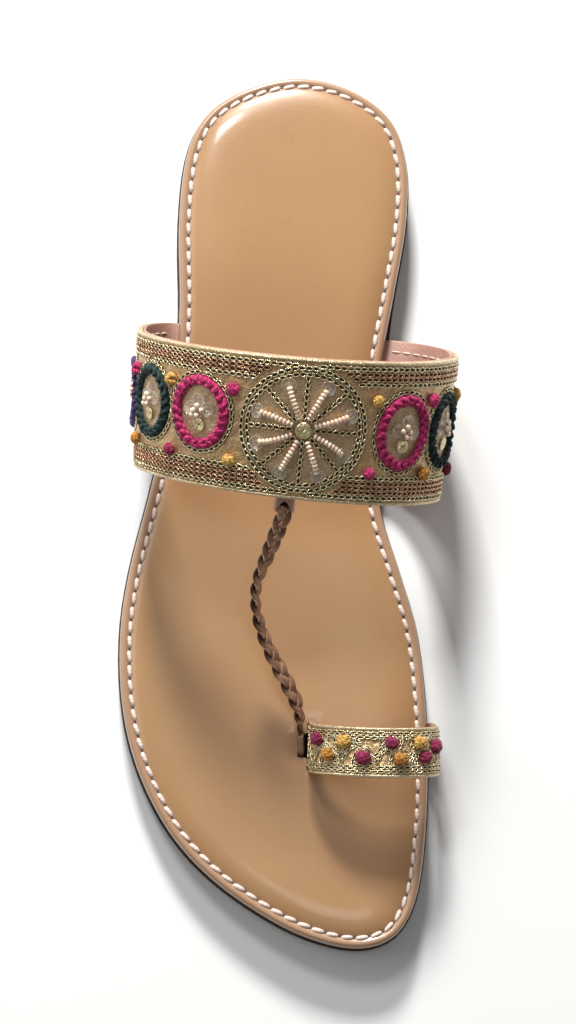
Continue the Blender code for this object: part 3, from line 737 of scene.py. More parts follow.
def rounded(count: int, power: float) -> Array:
    """Points round a square of half size 1, whose corners are rounder for a higher power."""
    form = joined(np.cos(circle(count)), np.sin(circle(count)))
    return np.sign(form) * np.abs(form) ** power


def run_along(line: Array, closed: bool = False) -> Array:
    """The run along a line at each point, and at the end its whole length."""
    whole = np.vstack([line, line[:1]]) if closed else line
    return np.concatenate([[0.0], np.cumsum(np.linalg.norm(np.diff(whole, axis=0), axis=1))])


def swept(path: Array, side: Array, up: Array, form: Array) -> Array:
    """A section, whose two values run along side and up, carried along a path."""
    return path[:, None] + side[:, None] * form[..., :1] + up[:, None] * form[..., 1:]


def lathe(profile: Sequence[Pair], segments: int) -> Array:
    """A profile of (radius, height) points turned round the upright axis, as a grid with closed rows."""
    turns, (radius, height) = circle(segments)[:, None], np.array(profile, float).T
    return joined(np.cos(turns) * radius, np.sin(turns) * radius, height)


def ball(radius: float, squash: float, segments: int = 10, rings: int = 6) -> Array:
    """A bead, squash times as high as wide, as a grid with closed rows that runs from pole to pole."""
    tilts = np.linspace(-math.pi / 2, math.pi / 2, rings)
    return lathe([(max(math.cos(t), 0.02) * radius, math.sin(t) * radius * squash) for t in tilts], segments)


def flat_turn(points: Array, angle: Array | float) -> Array:
    """Turns places about the upright axis.

    Args:
        points: (..., 3) places.
        angle: the turn in radians, one or one for each leading item.

    Returns:
        The turned places.
    """
    c, s = np.cos(angle), np.sin(angle)
    x, y, z = np.moveaxis(points, -1, 0)
    return joined(x * c - y * s, x * s + y * c, z)


def resample(line: Array, count: int, closed: bool) -> Array:
    """Spaces the points of a line evenly.

    Args:
        line: (n, d) places.
        count: how many points are wanted.
        closed: whether the line closes on itself.

    Returns:
        (count, d) places; a closed line doesn't repeat its first point.
    """
    whole = np.vstack([line, line[:1]]) if closed else line
    runs = run_along(line, closed)
    wanted = np.linspace(0.0, runs[-1], count, endpoint=not closed)
    return np.stack([np.interp(wanted, runs, whole[:, k]) for k in range(whole.shape[1])], axis=1)


# Sole


@dataclass(frozen=True)
class SoleForm:
    """The outline and the side profile of the sole, the same as the solids have."""

    length: float = 0.2530
    ball_width: float = 0.0898
    heel_seat: float = 0.032
    heel_height: float = 0.0108
    forefoot: float = 0.0042
    toe_spring: float = 0.0036
    footbed: float = 0.0045
    layer_gap: float = 0.0003
    outline_rows: tuple[Pair, ...] = (
        (0.000, 0.000), (0.017, 0.171), (0.049, 0.292), (0.099, 0.352), (0.179, 0.370), (0.279, 0.361),
        (0.373, 0.376), (0.481, 0.436), (0.582, 0.501), (0.660, 0.524), (0.741, 0.507), (0.811, 0.450),
        (0.878, 0.345), (0.931, 0.199), (0.976, 0.000), (0.997, -0.165), (0.998, -0.290), (0.978, -0.382),
        (0.929, -0.438), (0.838, -0.462), (0.745, -0.458), (0.648, -0.427), (0.576, -0.367), (0.508, -0.304),
        (0.435, -0.275), (0.353, -0.286), (0.260, -0.329), (0.171, -0.367), (0.097, -0.365), (0.045, -0.308),
        (0.011, -0.171),
    )
    profile_rows: tuple[tuple[float, float, float], ...] = (
        (0.000, 1.00, 0.00), (0.120, 1.00, 0.00), (0.232, 0.93, 0.00), (0.250, 0.91, 0.00), (0.310, 0.80, 0.00),
        (0.380, 0.60, 0.00), (0.450, 0.37, 0.00), (0.520, 0.17, 0.00), (0.590, 0.05, 0.00), (0.670, 0.00, 0.00),
        (0.770, 0.00, 0.00), (0.830, 0.00, 0.10), (0.890, 0.00, 0.34), (0.945, 0.00, 0.65), (1.000, 0.00, 1.00),
    )

    def outline(self, steps: int = 12) -> Array:
        """The footbed's edge, round from the heel by the outer side.

        Args:
            steps: spans between each two rows of the table.

        Returns:
            (n, 2) places, across and along.
        """
        knots = np.array(self.outline_rows)[:, ::-1] * (self.ball_width, self.length)
        t = (np.arange(steps) / steps)[None, :, None]
        before, start, end, after = (np.roll(knots, shift, axis=0)[:, None, :] for shift in (1, 0, -1, -2))
        curve = 0.5 * (
            2 * start
            + (end - before) * t
            + (2 * before - 5 * start + 4 * end - after) * t**2
            + (3 * start - before - 3 * end + after) * t**3
        )
        return curve.reshape(-1, 2)

    def outsole_top(self, along: Array) -> Array:
        """The height of the outsole's upper side.

        Args:
            along: places along the sole.

        Returns:
            The heights.
        """
        rows = np.array(self.profile_rows)
        heights = self.forefoot + rows[:, 1] * (self.heel_height - self.forefoot) + rows[:, 2] * self.toe_spring
        return np.interp(along, rows[:, 0] * self.length, heights)

    def footbed_under(self, along: Array) -> Array:
        """The height of the footbed's underside."""
        return self.outsole_top(along) + self.layer_gap

    def footbed_top(self, along: Array) -> Array:
        """The height of the footbed's upper side."""
        return self.footbed_under(along) + self.footbed

    def soft_top(self, along: Array) -> Array:
        """The footbed's upper side without the folds of the solid.

        Args:
            along: places along the sole.

        Returns:
            Heights averaged over a centimetre and a half.
        """
        shifts = np.linspace(-1, 1, 15) * 0.0085
        weights = np.cos(shifts / 0.0085 * math.pi / 2) + 0.05
        heights = sum(w * self.footbed_top(np.clip(along + s, 0, self.length)) for s, w in zip(shifts, weights))
        return heights / weights.sum()

    def edge_across(self, along: float, outer: bool) -> float:
        """How far across the solid's edge lies.

        Args:
            along: a place along the sole.
            outer: whether the outer edge is meant.

        Returns:
            The place across.
        """
        points = self.outline(4)
        after = np.roll(points, -1, axis=0)
        low, high = np.minimum(points[:, 1], after[:, 1]), np.maximum(points[:, 1], after[:, 1])
        hit = (low <= along) & (along < high)
        share = (along - points[hit, 1]) / (after[hit, 1] - points[hit, 1])
        found = points[hit, 0] + (after[hit, 0] - points[hit, 0]) * share
        return float(found.max() if outer else found.min())

    def inset(self, distance: float, count: int = 400) -> Array:
        """The outline moved inwards.

        Args:
            distance: how far.
            count: how many points are wanted.

        Returns:
            (count, 2) places, across and along.
        """
        points = resample(self.outline(), count, closed=True)
        run = unit(np.roll(points, -1, axis=0) - np.roll(points, 1, axis=0))
        inward = joined(-run[:, 1], run[:, 0])
        middle = points.mean(axis=0)
        if np.sum(inward * (middle - points)) < 0:
            inward = -inward
        return points + inward * distance

    def placed(self, flat: Array, height: Array) -> Array:
        """Places in the frame, over places across and along the sole."""
        return joined(flat[:, 0], flat[:, 1] - self.heel_seat, height)


@dataclass(frozen=True)
class FootbedPiece:
    """The padded footbed: a rolled rim, a stitched groove and a soft middle, with a slot for the toe ring."""

    form: SoleForm
    groove_inset: float = 0.00285
    # Inset and height over the soft top, in millimetres, and tone: mid tones give the rim its paler colour, high tones
    # painted shade in the stitched groove
    edge_rows: tuple[tuple[float, float, float], ...] = (
        (3.0, -4.45, 0.2), (0.75, -4.45, 0.2), (0.25, -4.10, 0.25), (0.02, -3.40, 0.3), (0.00, -2.40, 0.3),
        (0.04, -1.50, 0.3), (0.22, -0.80, 0.3), (0.55, -0.32, 0.3), (1.00, -0.05, 0.3), (1.50, 0.02, 0.3),
        (2.00, -0.10, 0.35), (2.40, -0.38, 0.6), (2.75, -0.62, 0.95), (3.05, -0.58, 0.85), (3.40, -0.28, 0.3),
        (4.00, 0.02, 0.05), (4.90, 0.36, 0.0), (6.10, 0.70, 0.0), (7.50, 0.98, 0.0), (9.20, 1.18, 0.0),
        (11.2, 1.29, 0.0),
    )
    slit_across: Pair = (-0.0097, -0.0069)
    slit_along: Pair = (0.1893, 0.2034)
    notch_across: float = -0.0042
    notch_along: Pair = (0.1928, 0.1996)
    pad_height: float = 0.00134
    pitch: float = 0.0042
    girth: float = 0.64
    mesh_step: float = 0.0040
    stitch_sink: float = 0.00052

    def build(self) -> Pieces:
        """Makes the footbed, its stitches and their needle holes.

        Returns:
            The pieces.
        """
        blank, form = Blank(), self.form
        insets, rises, tones = np.array(self.edge_rows).T
        loops = [form.inset(inset * MM) for inset in insets]
        heights = [form.soft_top(flat[:, 1]) + rise * MM for flat, rise in zip(loops, rises)]
        count = len(loops[0])
        blank.add_grid(
            np.stack([form.placed(*loop) for loop in zip(loops, heights)]), insets * MM,
            np.linspace(0, self.girth, count + 1), closed_columns=True, tone=np.repeat(tones, count),
        )
        self.add_middle(blank, loops[-1], heights[-1])
        footbed = blank.build("footbed_leather_top", FootbedLeather(), Slot.FOOTBED.value, weld=True)
        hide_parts("footbed")
        return [footbed, *self.stitches()]

    def add_middle(self, blank: Blank, rim: Array, heights: Array) -> None:
        """Adds the soft middle inside the last loop, with the toe slot cut through it.

        Args:
            blank: the mesh that takes it.
            rim: (n, 2) places of the last loop.
            heights: its heights.
        """
        form, step = self.form, self.mesh_step
        low, high = rim.min(axis=0), rim.max(axis=0)
        seeds = np.array([
            (across, along)
            for j, along in enumerate(np.arange(low[1] + step, high[1], step * 0.87))
            for across in np.arange(low[0] + step * (0.5 if j % 2 else 0.0), high[0], step)
        ])
        near = self.inside(seeds, self.slot_loop(0.0018))
        seeds = seeds[self.inside(seeds, form.inset(0.0135, 200)) & ~near]
        hole = self.slot_loop()
        loops = (rim, hole, self.slot_loop(0.0009))
        edges, start = [], 0
        for size in map(len, loops):
            edges += [(start + k, start + (k + 1) % size) for k in range(size)]
            start += size
        coords = [Vector(p) for p in np.vstack([*loops, seeds])]
        flat, _, faces, *_ = geometry.delaunay_2d_cdt(coords, edges, [], 1, 1e-7)
        flat = np.array([tuple(p) for p in flat])
        faces = np.array([face for face in faces if len(face) == 3])
        faces = faces[~self.inside(flat[faces].mean(axis=1), hole)]
        height = form.soft_top(flat[:, 1]) + self.pad_height * self.pad_share(flat)
        to_rim, to_hole = (np.abs(loop - flat[:, None]).sum(axis=2) for loop in (rim, hole))
        on_rim, at_hole = to_rim.min(axis=1) < 1e-7, to_hole.min(axis=1) < 1e-7
        height[on_rim] = heights[to_rim[on_rim].argmin(axis=1)]
        height[at_hole] -= 0.0002
        # Painted shade: the slot's edge and wall take high tones, which the leather turns dark
        blank.add(form.placed(flat, height), faces, flat[faces], np.where(at_hole, 0.7, 0.0))
        wall_top = form.placed(hole, form.soft_top(hole[:, 1]) + self.pad_height - 0.0002)
        blank.add_grid(np.stack([wall_top, wall_top - (0, 0, form.footbed)]), closed_columns=True, tone=0.9)

    def pad_share(self, flat: Array) -> Array:
        """How full the pad is at places across and along the sole, with a slow uneven swell."""
        return 1.0 + 0.09 * np.sin(flat[:, 1] * 43.0) * np.cos(flat[:, 0] * 60.0)

    def slot_loop(self, out: float = 0.0) -> Array:
        """The edge of the toe slot.

        Args:
            out: how far outside the edge.

        Returns:
            (n, 2) places with cut corners.
        """
        (x0, x1), (y0, y1) = self.slit_across, self.slit_along
        x2, (y2, y3) = self.notch_across, self.notch_along
        corners = np.array([(x0, y0), (x1, y0), (x1, y2), (x2, y2), (x2, y3), (x1, y3), (x1, y1), (x0, y1)])
        run = unit(np.roll(corners, -1, axis=0) - corners)
        before = np.roll(run, 1, axis=0)
        corners = corners + out * joined(run[:, 1] + before[:, 1], -run[:, 0] - before[:, 0])
        cut = 0.0005 + out * 0.3
        loop = []
        for corner, back, ahead in zip(corners, before, run):
            loop += [corner - back * cut, corner - back * cut * 0.3 + ahead * cut * 0.3, corner + ahead * cut]
        return resample(np.array(loop), 64, closed=True)

    @staticmethod
    def inside(points: Array, loop: Array) -> Array:
        """Which points lie inside a loop.

        Args:
            points: (n, 2) places.
            loop: (m, 2) places.

        Returns:
            A truth value for each point.
        """
        after = np.roll(loop, -1, axis=0)
        x, y = points[:, 0, None], points[:, 1, None]
        crosses = (loop[:, 1] > y) != (after[:, 1] > y)
        rise = after[:, 1] - loop[:, 1]
        reach = loop[:, 0] + (y - loop[:, 1]) * (after[:, 0] - loop[:, 0]) / np.where(rise == 0, 1e-12, rise)
        return (crosses & (x < reach)).sum(axis=1) % 2 == 1

    def stitches(self) -> Pieces:
        """Sews the footbed's edge.

        Returns:
            The stitches and the dark discs between them, painted shade in the needle holes.
        """
        form = self.form
        line = form.inset(self.groove_inset, 1200)
        count = int(round(run_along(line, True)[-1] / self.pitch))
        spots = resample(line, count, closed=True)
        ahead = np.roll(spots, -1, axis=0) - spots
        angles = np.arctan2(ahead[:, 1], ahead[:, 0])
        rng = np.random.default_rng(7)
        steps, sides = 9, 7
        t = np.linspace(-1, 1, steps)[:, None]
        thick = 0.00066 * np.sqrt(np.clip(1 - np.abs(t) ** 3.5, 0.02, 1))
        rise = 0.00022 * (1 - t**2) - 0.00030 * np.abs(t) ** 6
        turns = circle(sides)
        body = joined(t * 0.00194, thick * np.cos(turns), rise + thick * np.sin(turns) * 0.85)
        tilt = 0.13 + rng.normal(0, 0.035, count)
        size = 1 + rng.normal(0, 0.03, count)
        turned = flat_turn(body * size[:, None, None, None], (angles + tilt)[:, None, None])
        middles, corners = (
            form.placed(flat, form.soft_top(flat[:, 1]) - self.stitch_sink)[:, None, None]
            for flat in (spots + ahead * 0.5, spots)
        )
        thread, holes = Blank(), Blank()
        thread.add_grid(
            turned + middles, np.linspace(0, 0.0034, steps), np.arange(sides + 1) / sides, closed_columns=True
        )
        # Painted shade: a dark disc at each needle hole
        disc = lathe([(0.00002, 0.00005), (0.00044, 0.00005), (0.00052, -0.0002)], 8)
        holes.add_grid(disc + corners, closed_rows=True)
        return build_all(
            Slot.FOOTBED, ("footbed_stitches", thread, StitchThread()), ("footbed_needle_holes", holes, NEEDLE_SHADE)
        )


# Straps


@dataclass(frozen=True)
class StrapEdge:
    """One edge of a strap that arches over the footbed, by its lining side."""

    along: float
    skew: float
    inner_foot: float
    outer_foot: float
    inner_reach: float
    outer_reach: float
    corner: float
    hip: float
    crown: float

    def point(self, place: Array, tongue: float) -> tuple[Array, Array]:
        """The edge at places from 0, the inner tongue's end, to 7, the outer tongue's end.

        Args:
            place: the places.
            tongue: how far the tongues reach in under the footbed.

        Returns:
            How far across, and how high.
        """
        piece = np.clip(np.floor(place), 0, 6).astype(int)
        t = place - piece
        inner = piece < 3
        share = np.where(inner, t, 1 - t)
        foot = np.where(inner, self.inner_foot, self.outer_foot)
        reach = np.where(inner, self.inner_reach, self.outer_reach)
        inward = np.where(inner, tongue, -tongue)
        turn = share * math.pi / 2
        arch = math.pi * (1 - t)
        middle = (self.inner_reach + self.outer_reach) / 2
        half = (self.outer_reach - self.inner_reach) / 2
        kind = np.where(inner, piece, 6 - piece)
        across = np.select(
            [kind == 0, kind == 1, kind == 2],
            [foot + inward * (1 - share), foot + (reach - foot) * np.sin(turn), reach],
            middle + half * np.cos(arch),
        )
        height = np.select(
            [kind == 0, kind == 1, kind == 2],
            [0 * t, self.corner * (1 - np.cos(turn)), self.corner + (self.hip - self.corner) * share],
            self.hip + (self.crown - self.hip) * np.sin(arch),
        )
        return across, height


@dataclass(frozen=True)
class StrapForm:
    """A strap ruled between its edge towards the heel and its edge towards the toe."""

    sole: SoleForm
    heel_edge: StrapEdge
    toe_edge: StrapEdge
    centre: float
    half_span: float
    lean: float
    tongue: float
    thickness: float
    piece_gap: float = 0.0003

    def lining(self, place: Array, share: Array) -> Array:
        """Points of the lining side.

        Args:
            place: places from 0 to 7 round the strap.
            share: shares of its width, from the heel edge.

        Returns:
            (..., 3) places.
        """
        heel, toe = self.heel_edge, self.toe_edge
        heel_across, heel_height = heel.point(place, self.tongue)
        toe_across, toe_height = toe.point(place, self.tongue)
        across = heel_across + (toe_across - heel_across) * share
        height = heel_height + (toe_height - heel_height) * share
        skew = heel.skew + (toe.skew - heel.skew) * share
        along = heel.along + (toe.along - heel.along) * share - skew * (across - self.centre) / self.half_span
        level = self.sole.footbed_under(along) - self.piece_gap
        return np.stack([across, along + self.lean * height - self.sole.heel_seat, level + height], axis=-1)


class ClothMap:
    """A strap's outer face as a flat cloth, on which trim is laid out."""

    CROWN = 3.5
    LAST = 7.0

    def __init__(self, strap: StrapForm) -> None:
        """Tabulates the strap.

        Args:
            strap: the strap's form.
        """
        self.strap = strap
        places, shares = np.linspace(0, self.LAST, 1401), np.linspace(0, 1, 33)
        grid = np.meshgrid(places, shares, indexing="ij")
        step = 1e-3
        self.inner_face = strap.lining(*grid)
        run = strap.lining(grid[0] + step, grid[1]) - strap.lining(grid[0] - step, grid[1])
        width = strap.lining(grid[0], grid[1] + step) - strap.lining(grid[0], grid[1] - step)
        self.outward = unit(np.cross(run, width))
        crown = strap.lining(np.array([self.CROWN, self.CROWN]), np.array([0.0, 1.0]))
        self.width = float(np.linalg.norm(crown[1] - crown[0]))
        self.places = np.linspace(1.0, 6.0, 601)
        middle = self.at(self.places, np.full(601, 0.5), np.zeros(601))
        self.runs = run_along(middle)
        self.middle = float(np.interp(self.CROWN, self.places, self.runs))

    def at(self, place: Array, share: Array, lift: Array) -> Array:
        """Points off the outer face, by place and share.

        Args:
            place: places from 0 to 7 round the strap.
            share: shares of its width.
            lift: how far off the outer face.

        Returns:
            (..., 3) places.
        """
        u = np.clip(place / self.LAST * 1400, 0, 1399.999)
        v = share * 32
        i, j = np.floor(u).astype(int), np.clip(np.floor(v), 0, 31).astype(int)
        a, b = (u - i)[..., None], (v - j)[..., None]

        def blend(table: Array) -> Array:
            """The table's values between its points."""
            low = table[i, j] * (1 - b) + table[i, j + 1] * b
            return low * (1 - a) + (table[i + 1, j] * (1 - b) + table[i + 1, j + 1] * b) * a

        return blend(self.inner_face) + blend(self.outward) * (self.strap.thickness + lift)[..., None]

    def map(self, points: Array) -> Array:
        """Carries (distance, aside, lift) places of the flat cloth onto the strap."""
        place = np.interp(self.middle + points[..., 0], self.runs, self.places)
        return self.at(place, 0.5 + points[..., 1] / self.width, points[..., 2])

    def reach(self) -> Pair:
        """The distances of the two feet from the crown."""
        return -self.middle, float(self.runs[-1]) - self.middle


@dataclass(frozen=True)
class ChainStitch:
    """A row of chain stitches, whose loops are each held down by the next."""

    pitch: float = 0.00185
    width: float = 0.00158
    thread: float = 0.00044
    overlap: float = 1.30
    steps: int = 12
    sides: int = 5
    lift: float = 0.00024
    jitter: float = 0.06
    # Painted shade under the loops: its width as a share of theirs, and its lift
    loop_shade_share: float = 0.92
    loop_shade_lift: float = 0.00005

    def loop(self) -> Array:
        """One loop on the flat cloth, its narrow start towards minus X.

        Returns:
            (steps, sides, 3) places, closed both ways.
        """
        t = circle(self.steps)
        half_length = (self.pitch * self.overlap - self.thread) / 2
        half_width = (self.width - self.thread) / 2
        path = joined(
            -half_length * np.cos(t),
            half_width * np.sin(t) * (0.86 - 0.20 * np.cos(t)) / 0.9,
            self.lift + self.thread * 0.42 * np.cos(t),
        )
        run = unit(np.roll(path, -1, axis=0) - np.roll(path, 1, axis=0))
        side = unit(np.cross(run, (0, 0, 1)))
        return swept(path, side, np.cross(side, run), rounded(self.sides, 1.0) * (self.thread / 2))

    def lay(
        self, blank: Blank, cloth: ClothMap, line: Array, closed: bool = False,
        keep: Callable[[Array], Array] | None = None, seed: int = 1, ground: Blank | None = None, base: float = 0.0,
    ) -> None:
        """Sews a row along a line.

        Args:
            blank: the mesh that takes the loops.
            cloth: the strap that they are sewn to.
            line: (n, 2) distance and aside of the row.
            closed: whether the row closes on itself.
            keep: tells which places, (k, 2), are sewn.
            seed: the seed of the small irregularities.
            ground: a mesh that takes the painted shade under the loops, a dark sheet in their openings.
            base: how far the cloth under the row lies off the strap.
        """
        rng = np.random.default_rng(seed)
        count = max(2, int(round(run_along(line, closed)[-1] / self.pitch)))
        knots = resample(line, count + (0 if closed else 1), closed)
        ends = np.roll(knots, -1, axis=0) if closed else knots[1:]
        starts = knots if closed else knots[:-1]
        middles = (starts + ends) / 2
        if keep is not None:
            kept = keep(middles)
            starts, ends, middles = starts[kept], ends[kept], middles[kept]
        if not len(middles):
            return
        run = ends - starts
        angles = np.arctan2(run[:, 1], run[:, 0]) + rng.normal(0, self.jitter, len(run))
        scale = np.linalg.norm(run, axis=1) / self.pitch
        sizes = joined(scale, 1 + rng.normal(0, self.jitter, len(run)), 1.0)
        loops = flat_turn(self.loop() * sizes[:, None, None], angles[:, None, None])
        loops[..., :2] += (middles + rng.normal(0, self.pitch * 0.02, middles.shape))[:, None, None, :]
        loops[..., 2] += base + rng.normal(0, self.thread * 0.06, len(run))[:, None, None]
        blank.add_grid(
            cloth.map(loops), np.linspace(0, 2.6 * self.pitch, self.steps + 1), np.arange(self.sides + 1) / self.sides,
            closed_rows=True, closed_columns=True, tone=np.repeat(rng.uniform(0, 1, len(run)), self.steps * self.sides),
        )
        # Painted shade: a dark sheet under each loop, where the cloth would show in shade
        if ground is not None:
            half = run / 2
            side = unit(joined(-run[:, 1], run[:, 0])) * (self.width * self.loop_shade_share / 2)
            corners = [middles - half - side, middles + half - side, middles - half + side, middles + half + side]
            flat = np.stack(corners, axis=1).reshape(-1, 2, 2, 2)
            ground.add_grid(cloth.map(joined(flat[..., 0], flat[..., 1], base + self.loop_shade_lift)))


def oval(centre: Pair, half_length: float, half_width: float, count: int = 240) -> Array:
    """Places of an oval on the flat cloth, which is half_length from its centre round the strap."""
    turns = circle(count)
    return joined(centre[0] + half_length * np.cos(turns), centre[1] + half_width * np.sin(turns))


@dataclass(frozen=True)
class StrapShell:
    """A strap's layers: gold cloth outside, lining inside, and a piping along both edges."""

    cloth: ClothMap
    name: str
    lining_share: float = 0.36
    piping_radius: float = 0.00050
    piping_inset: float = 0.00058
    first: float = 0.70
    steps: int = 330

    def build(self, node: str) -> Pieces:
        """Makes the layers in place of the solid strap.

        Args:
            node: the solid's name.

        Returns:
            The pieces.
        """
        thick = self.cloth.strap.thickness
        split = thick * self.lining_share
        outer = self.layer(-thick + split, 0.0, 34).build(f"{self.name}_cloth", GOLD_CLOTH, Slot.CLOTH.value)
        inner = self.layer(-thick, -thick + split - 0.00003, 12).build(
            f"{self.name}_lining", LINING, Slot.CLOTH.value
        )
        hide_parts(node)
        return [outer, inner, self.piping()]

    def layer(self, low: float, high: float, columns: int) -> Blank:
        """One layer as a closed shell with rounded edges.

        Args:
            low: the lift of its inner face.
            high: the lift of its outer face.
            columns: points across each face.

        Returns:
            The mesh.
        """
        cloth = self.cloth
        half, middle = (high - low) / 2, (high + low) / 2
        inset = half / cloth.width
        shares = np.linspace(inset, 1 - inset, columns)
        section = [(s, high) for s in shares]
        for turn in np.linspace(0, math.pi, 6)[1:-1]:
            section.append((1 - inset + inset * math.sin(turn), middle + half * math.cos(turn)))
        section += [(s, low) for s in shares[::-1]]
        for turn in np.linspace(0, math.pi, 6)[1:-1]:
            section.append((inset - inset * math.sin(turn), middle - half * math.cos(turn)))
        share, lift = np.array(section).T
        places = np.concatenate([np.linspace(self.first, 3, self.steps // 3), np.linspace(3, 4, self.steps // 2)[1:]])
        places = np.concatenate([places, np.linspace(4, 7 - self.first, self.steps // 3)[1:]])
        grid = np.meshgrid(places, share, indexing="ij")
        lifts = np.broadcast_to(lift, grid[0].shape).copy()
        puff = np.sin(grid[0] * 37.0 + 3 * np.sin(grid[1] * 9.0)) * np.sin(grid[1] * 41.0 + 2 * np.sin(grid[0] * 11.0))
        lifts += np.where(lifts > middle, 0.00005 * puff, 0.0) if high == 0.0 else 0.0
        blank = Blank()
        run = np.interp(places, cloth.places, cloth.runs)
        widths = np.concatenate([share, share[:1]]) * cloth.width
        blank.add_grid(cloth.at(grid[0], grid[1], lifts), run, widths, closed_columns=True)
        return blank

    def piping(self) -> bpy.types.Object:
        """The rolled edge along both sides.

        Returns:
            The piece.
        """
        blank = Blank()
        cloth = self.cloth
        start, end = cloth.reach()
        distance = np.linspace(start + 0.0005, end - 0.0005, 320)
        turns = circle(10)
        for sign in (-1, 1):
            aside = sign * (cloth.width / 2 - self.piping_inset) + self.piping_radius * np.cos(turns)
            lift = -0.0001 + self.piping_radius * np.sin(turns)
            grid = joined(distance[:, None], aside, lift)
            around = np.arange(11) * self.piping_radius * FULL_TURN / 10
            blank.add_grid(cloth.map(grid), distance, around, closed_columns=True)
        return blank.build(f"{self.name}_piping", PIPING, Slot.CLOTH.value)

    def seam(self, inset: float, pitch: float) -> bpy.types.Object:
        """The sewn lines on the lining side, near both edges.

        Args:
            inset: how far inside the edge.
            pitch: from stitch to stitch.

        Returns:
            The piece.
        """
        blank = Blank()
        cloth = self.cloth
        start, end = cloth.reach()
        thick = cloth.strap.thickness
        t = np.linspace(-1, 1, 7)[:, None]
        radius = 0.00024 * np.sqrt(np.clip(1 - np.abs(t) ** 4, 0.03, 1))
        turns = circle(6)
        centres = np.arange(start + 0.004, end - 0.004, pitch)[:, None, None]
        for sign in (-1, 1):
            stitches = joined(
                centres + t * pitch * 0.42,
                radius * np.cos(turns) + sign * (cloth.width / 2 - inset),
                radius * np.sin(turns) - thick - 0.00008 * (1 - t**2),
            )
            blank.add_grid(cloth.map(stitches), np.linspace(0, pitch, 7), np.arange(7) / 6, closed_columns=True)
        return blank.build(f"{self.name}_lining_seam", StitchThread(), Slot.CLOTH.value)


@dataclass(frozen=True)
class TrimPlan:
    """Where the band's motifs and knots sit."""

    shift: float = -0.0016
    rosette_radius: float = 0.0178
    first_motif: float = 0.0296
    pitch: float = 0.0195
    motif_length: float = 0.0182
    motif_width: float = 0.0212
    yarn_width: float = 0.0031
    asides: Pair = (-0.0014, -0.0005)
    knot_asides: Pair = (-0.0092, 0.0108)
    outline_gap: float = 0.00062

    def motifs(self) -> list[Sewn]:
        """The yarn rings: node, wool and middle."""
        return [
            (
                f"yarn_ring_{wool.name.lower()}_{side}", wool,
                (self.shift + sign * (self.first_motif + k * self.pitch), aside),
            )
            for side, sign, aside in (("outer", 1, self.asides[0]), ("inner", -1, self.asides[1]))
            for k, wool in enumerate((Wool.PINK, Wool.GREEN, Wool.PURPLE))
        ]

    def knots(self) -> list[Sewn]:
        """Lays out the band's knots.

        Returns:
            The node, wool and middle of each.
        """
        wools = {
            "outer": ((Wool.PINK, Wool.YELLOW), (Wool.YELLOW, Wool.ROSE), (Wool.PINK, Wool.ORANGE)),
            "inner": ((Wool.YELLOW, Wool.PINK), (Wool.PINK, Wool.ORANGE), (Wool.YELLOW, Wool.ROSE)),
        }
        knots = []
        for side, sign in (("outer", 1), ("inner", -1)):
            for k, pair in enumerate(wools[side]):
                distance = self.shift + sign * (self.first_motif + (k - 0.5) * self.pitch)
                for end, aside, wool in zip(("heel", "toe"), self.knot_asides, pair):
                    knots.append((f"band_knot_{side}_{k + 1}_{end}", wool, (distance, aside)))
        return knots

    def clear_of_motifs(self, places: Array, margin: float = 0.0006) -> Array:
        """Which places lie outside the rosette and the rings' outlines.

        Args:
            places: (n, 2) distance and aside.
            margin: how far outside them.

        Returns:
            A truth value for each place.
        """
        clear = np.hypot(places[:, 0] - self.shift, places[:, 1]) > self.rosette_radius + margin
        for _, _, (distance, aside) in self.motifs():
            a = self.motif_length / 2 + self.outline_gap + margin
            b = self.motif_width / 2 + self.outline_gap + margin
            clear &= np.hypot((places[:, 0] - distance) / a, (places[:, 1] - aside) / b) > 1
        return clear


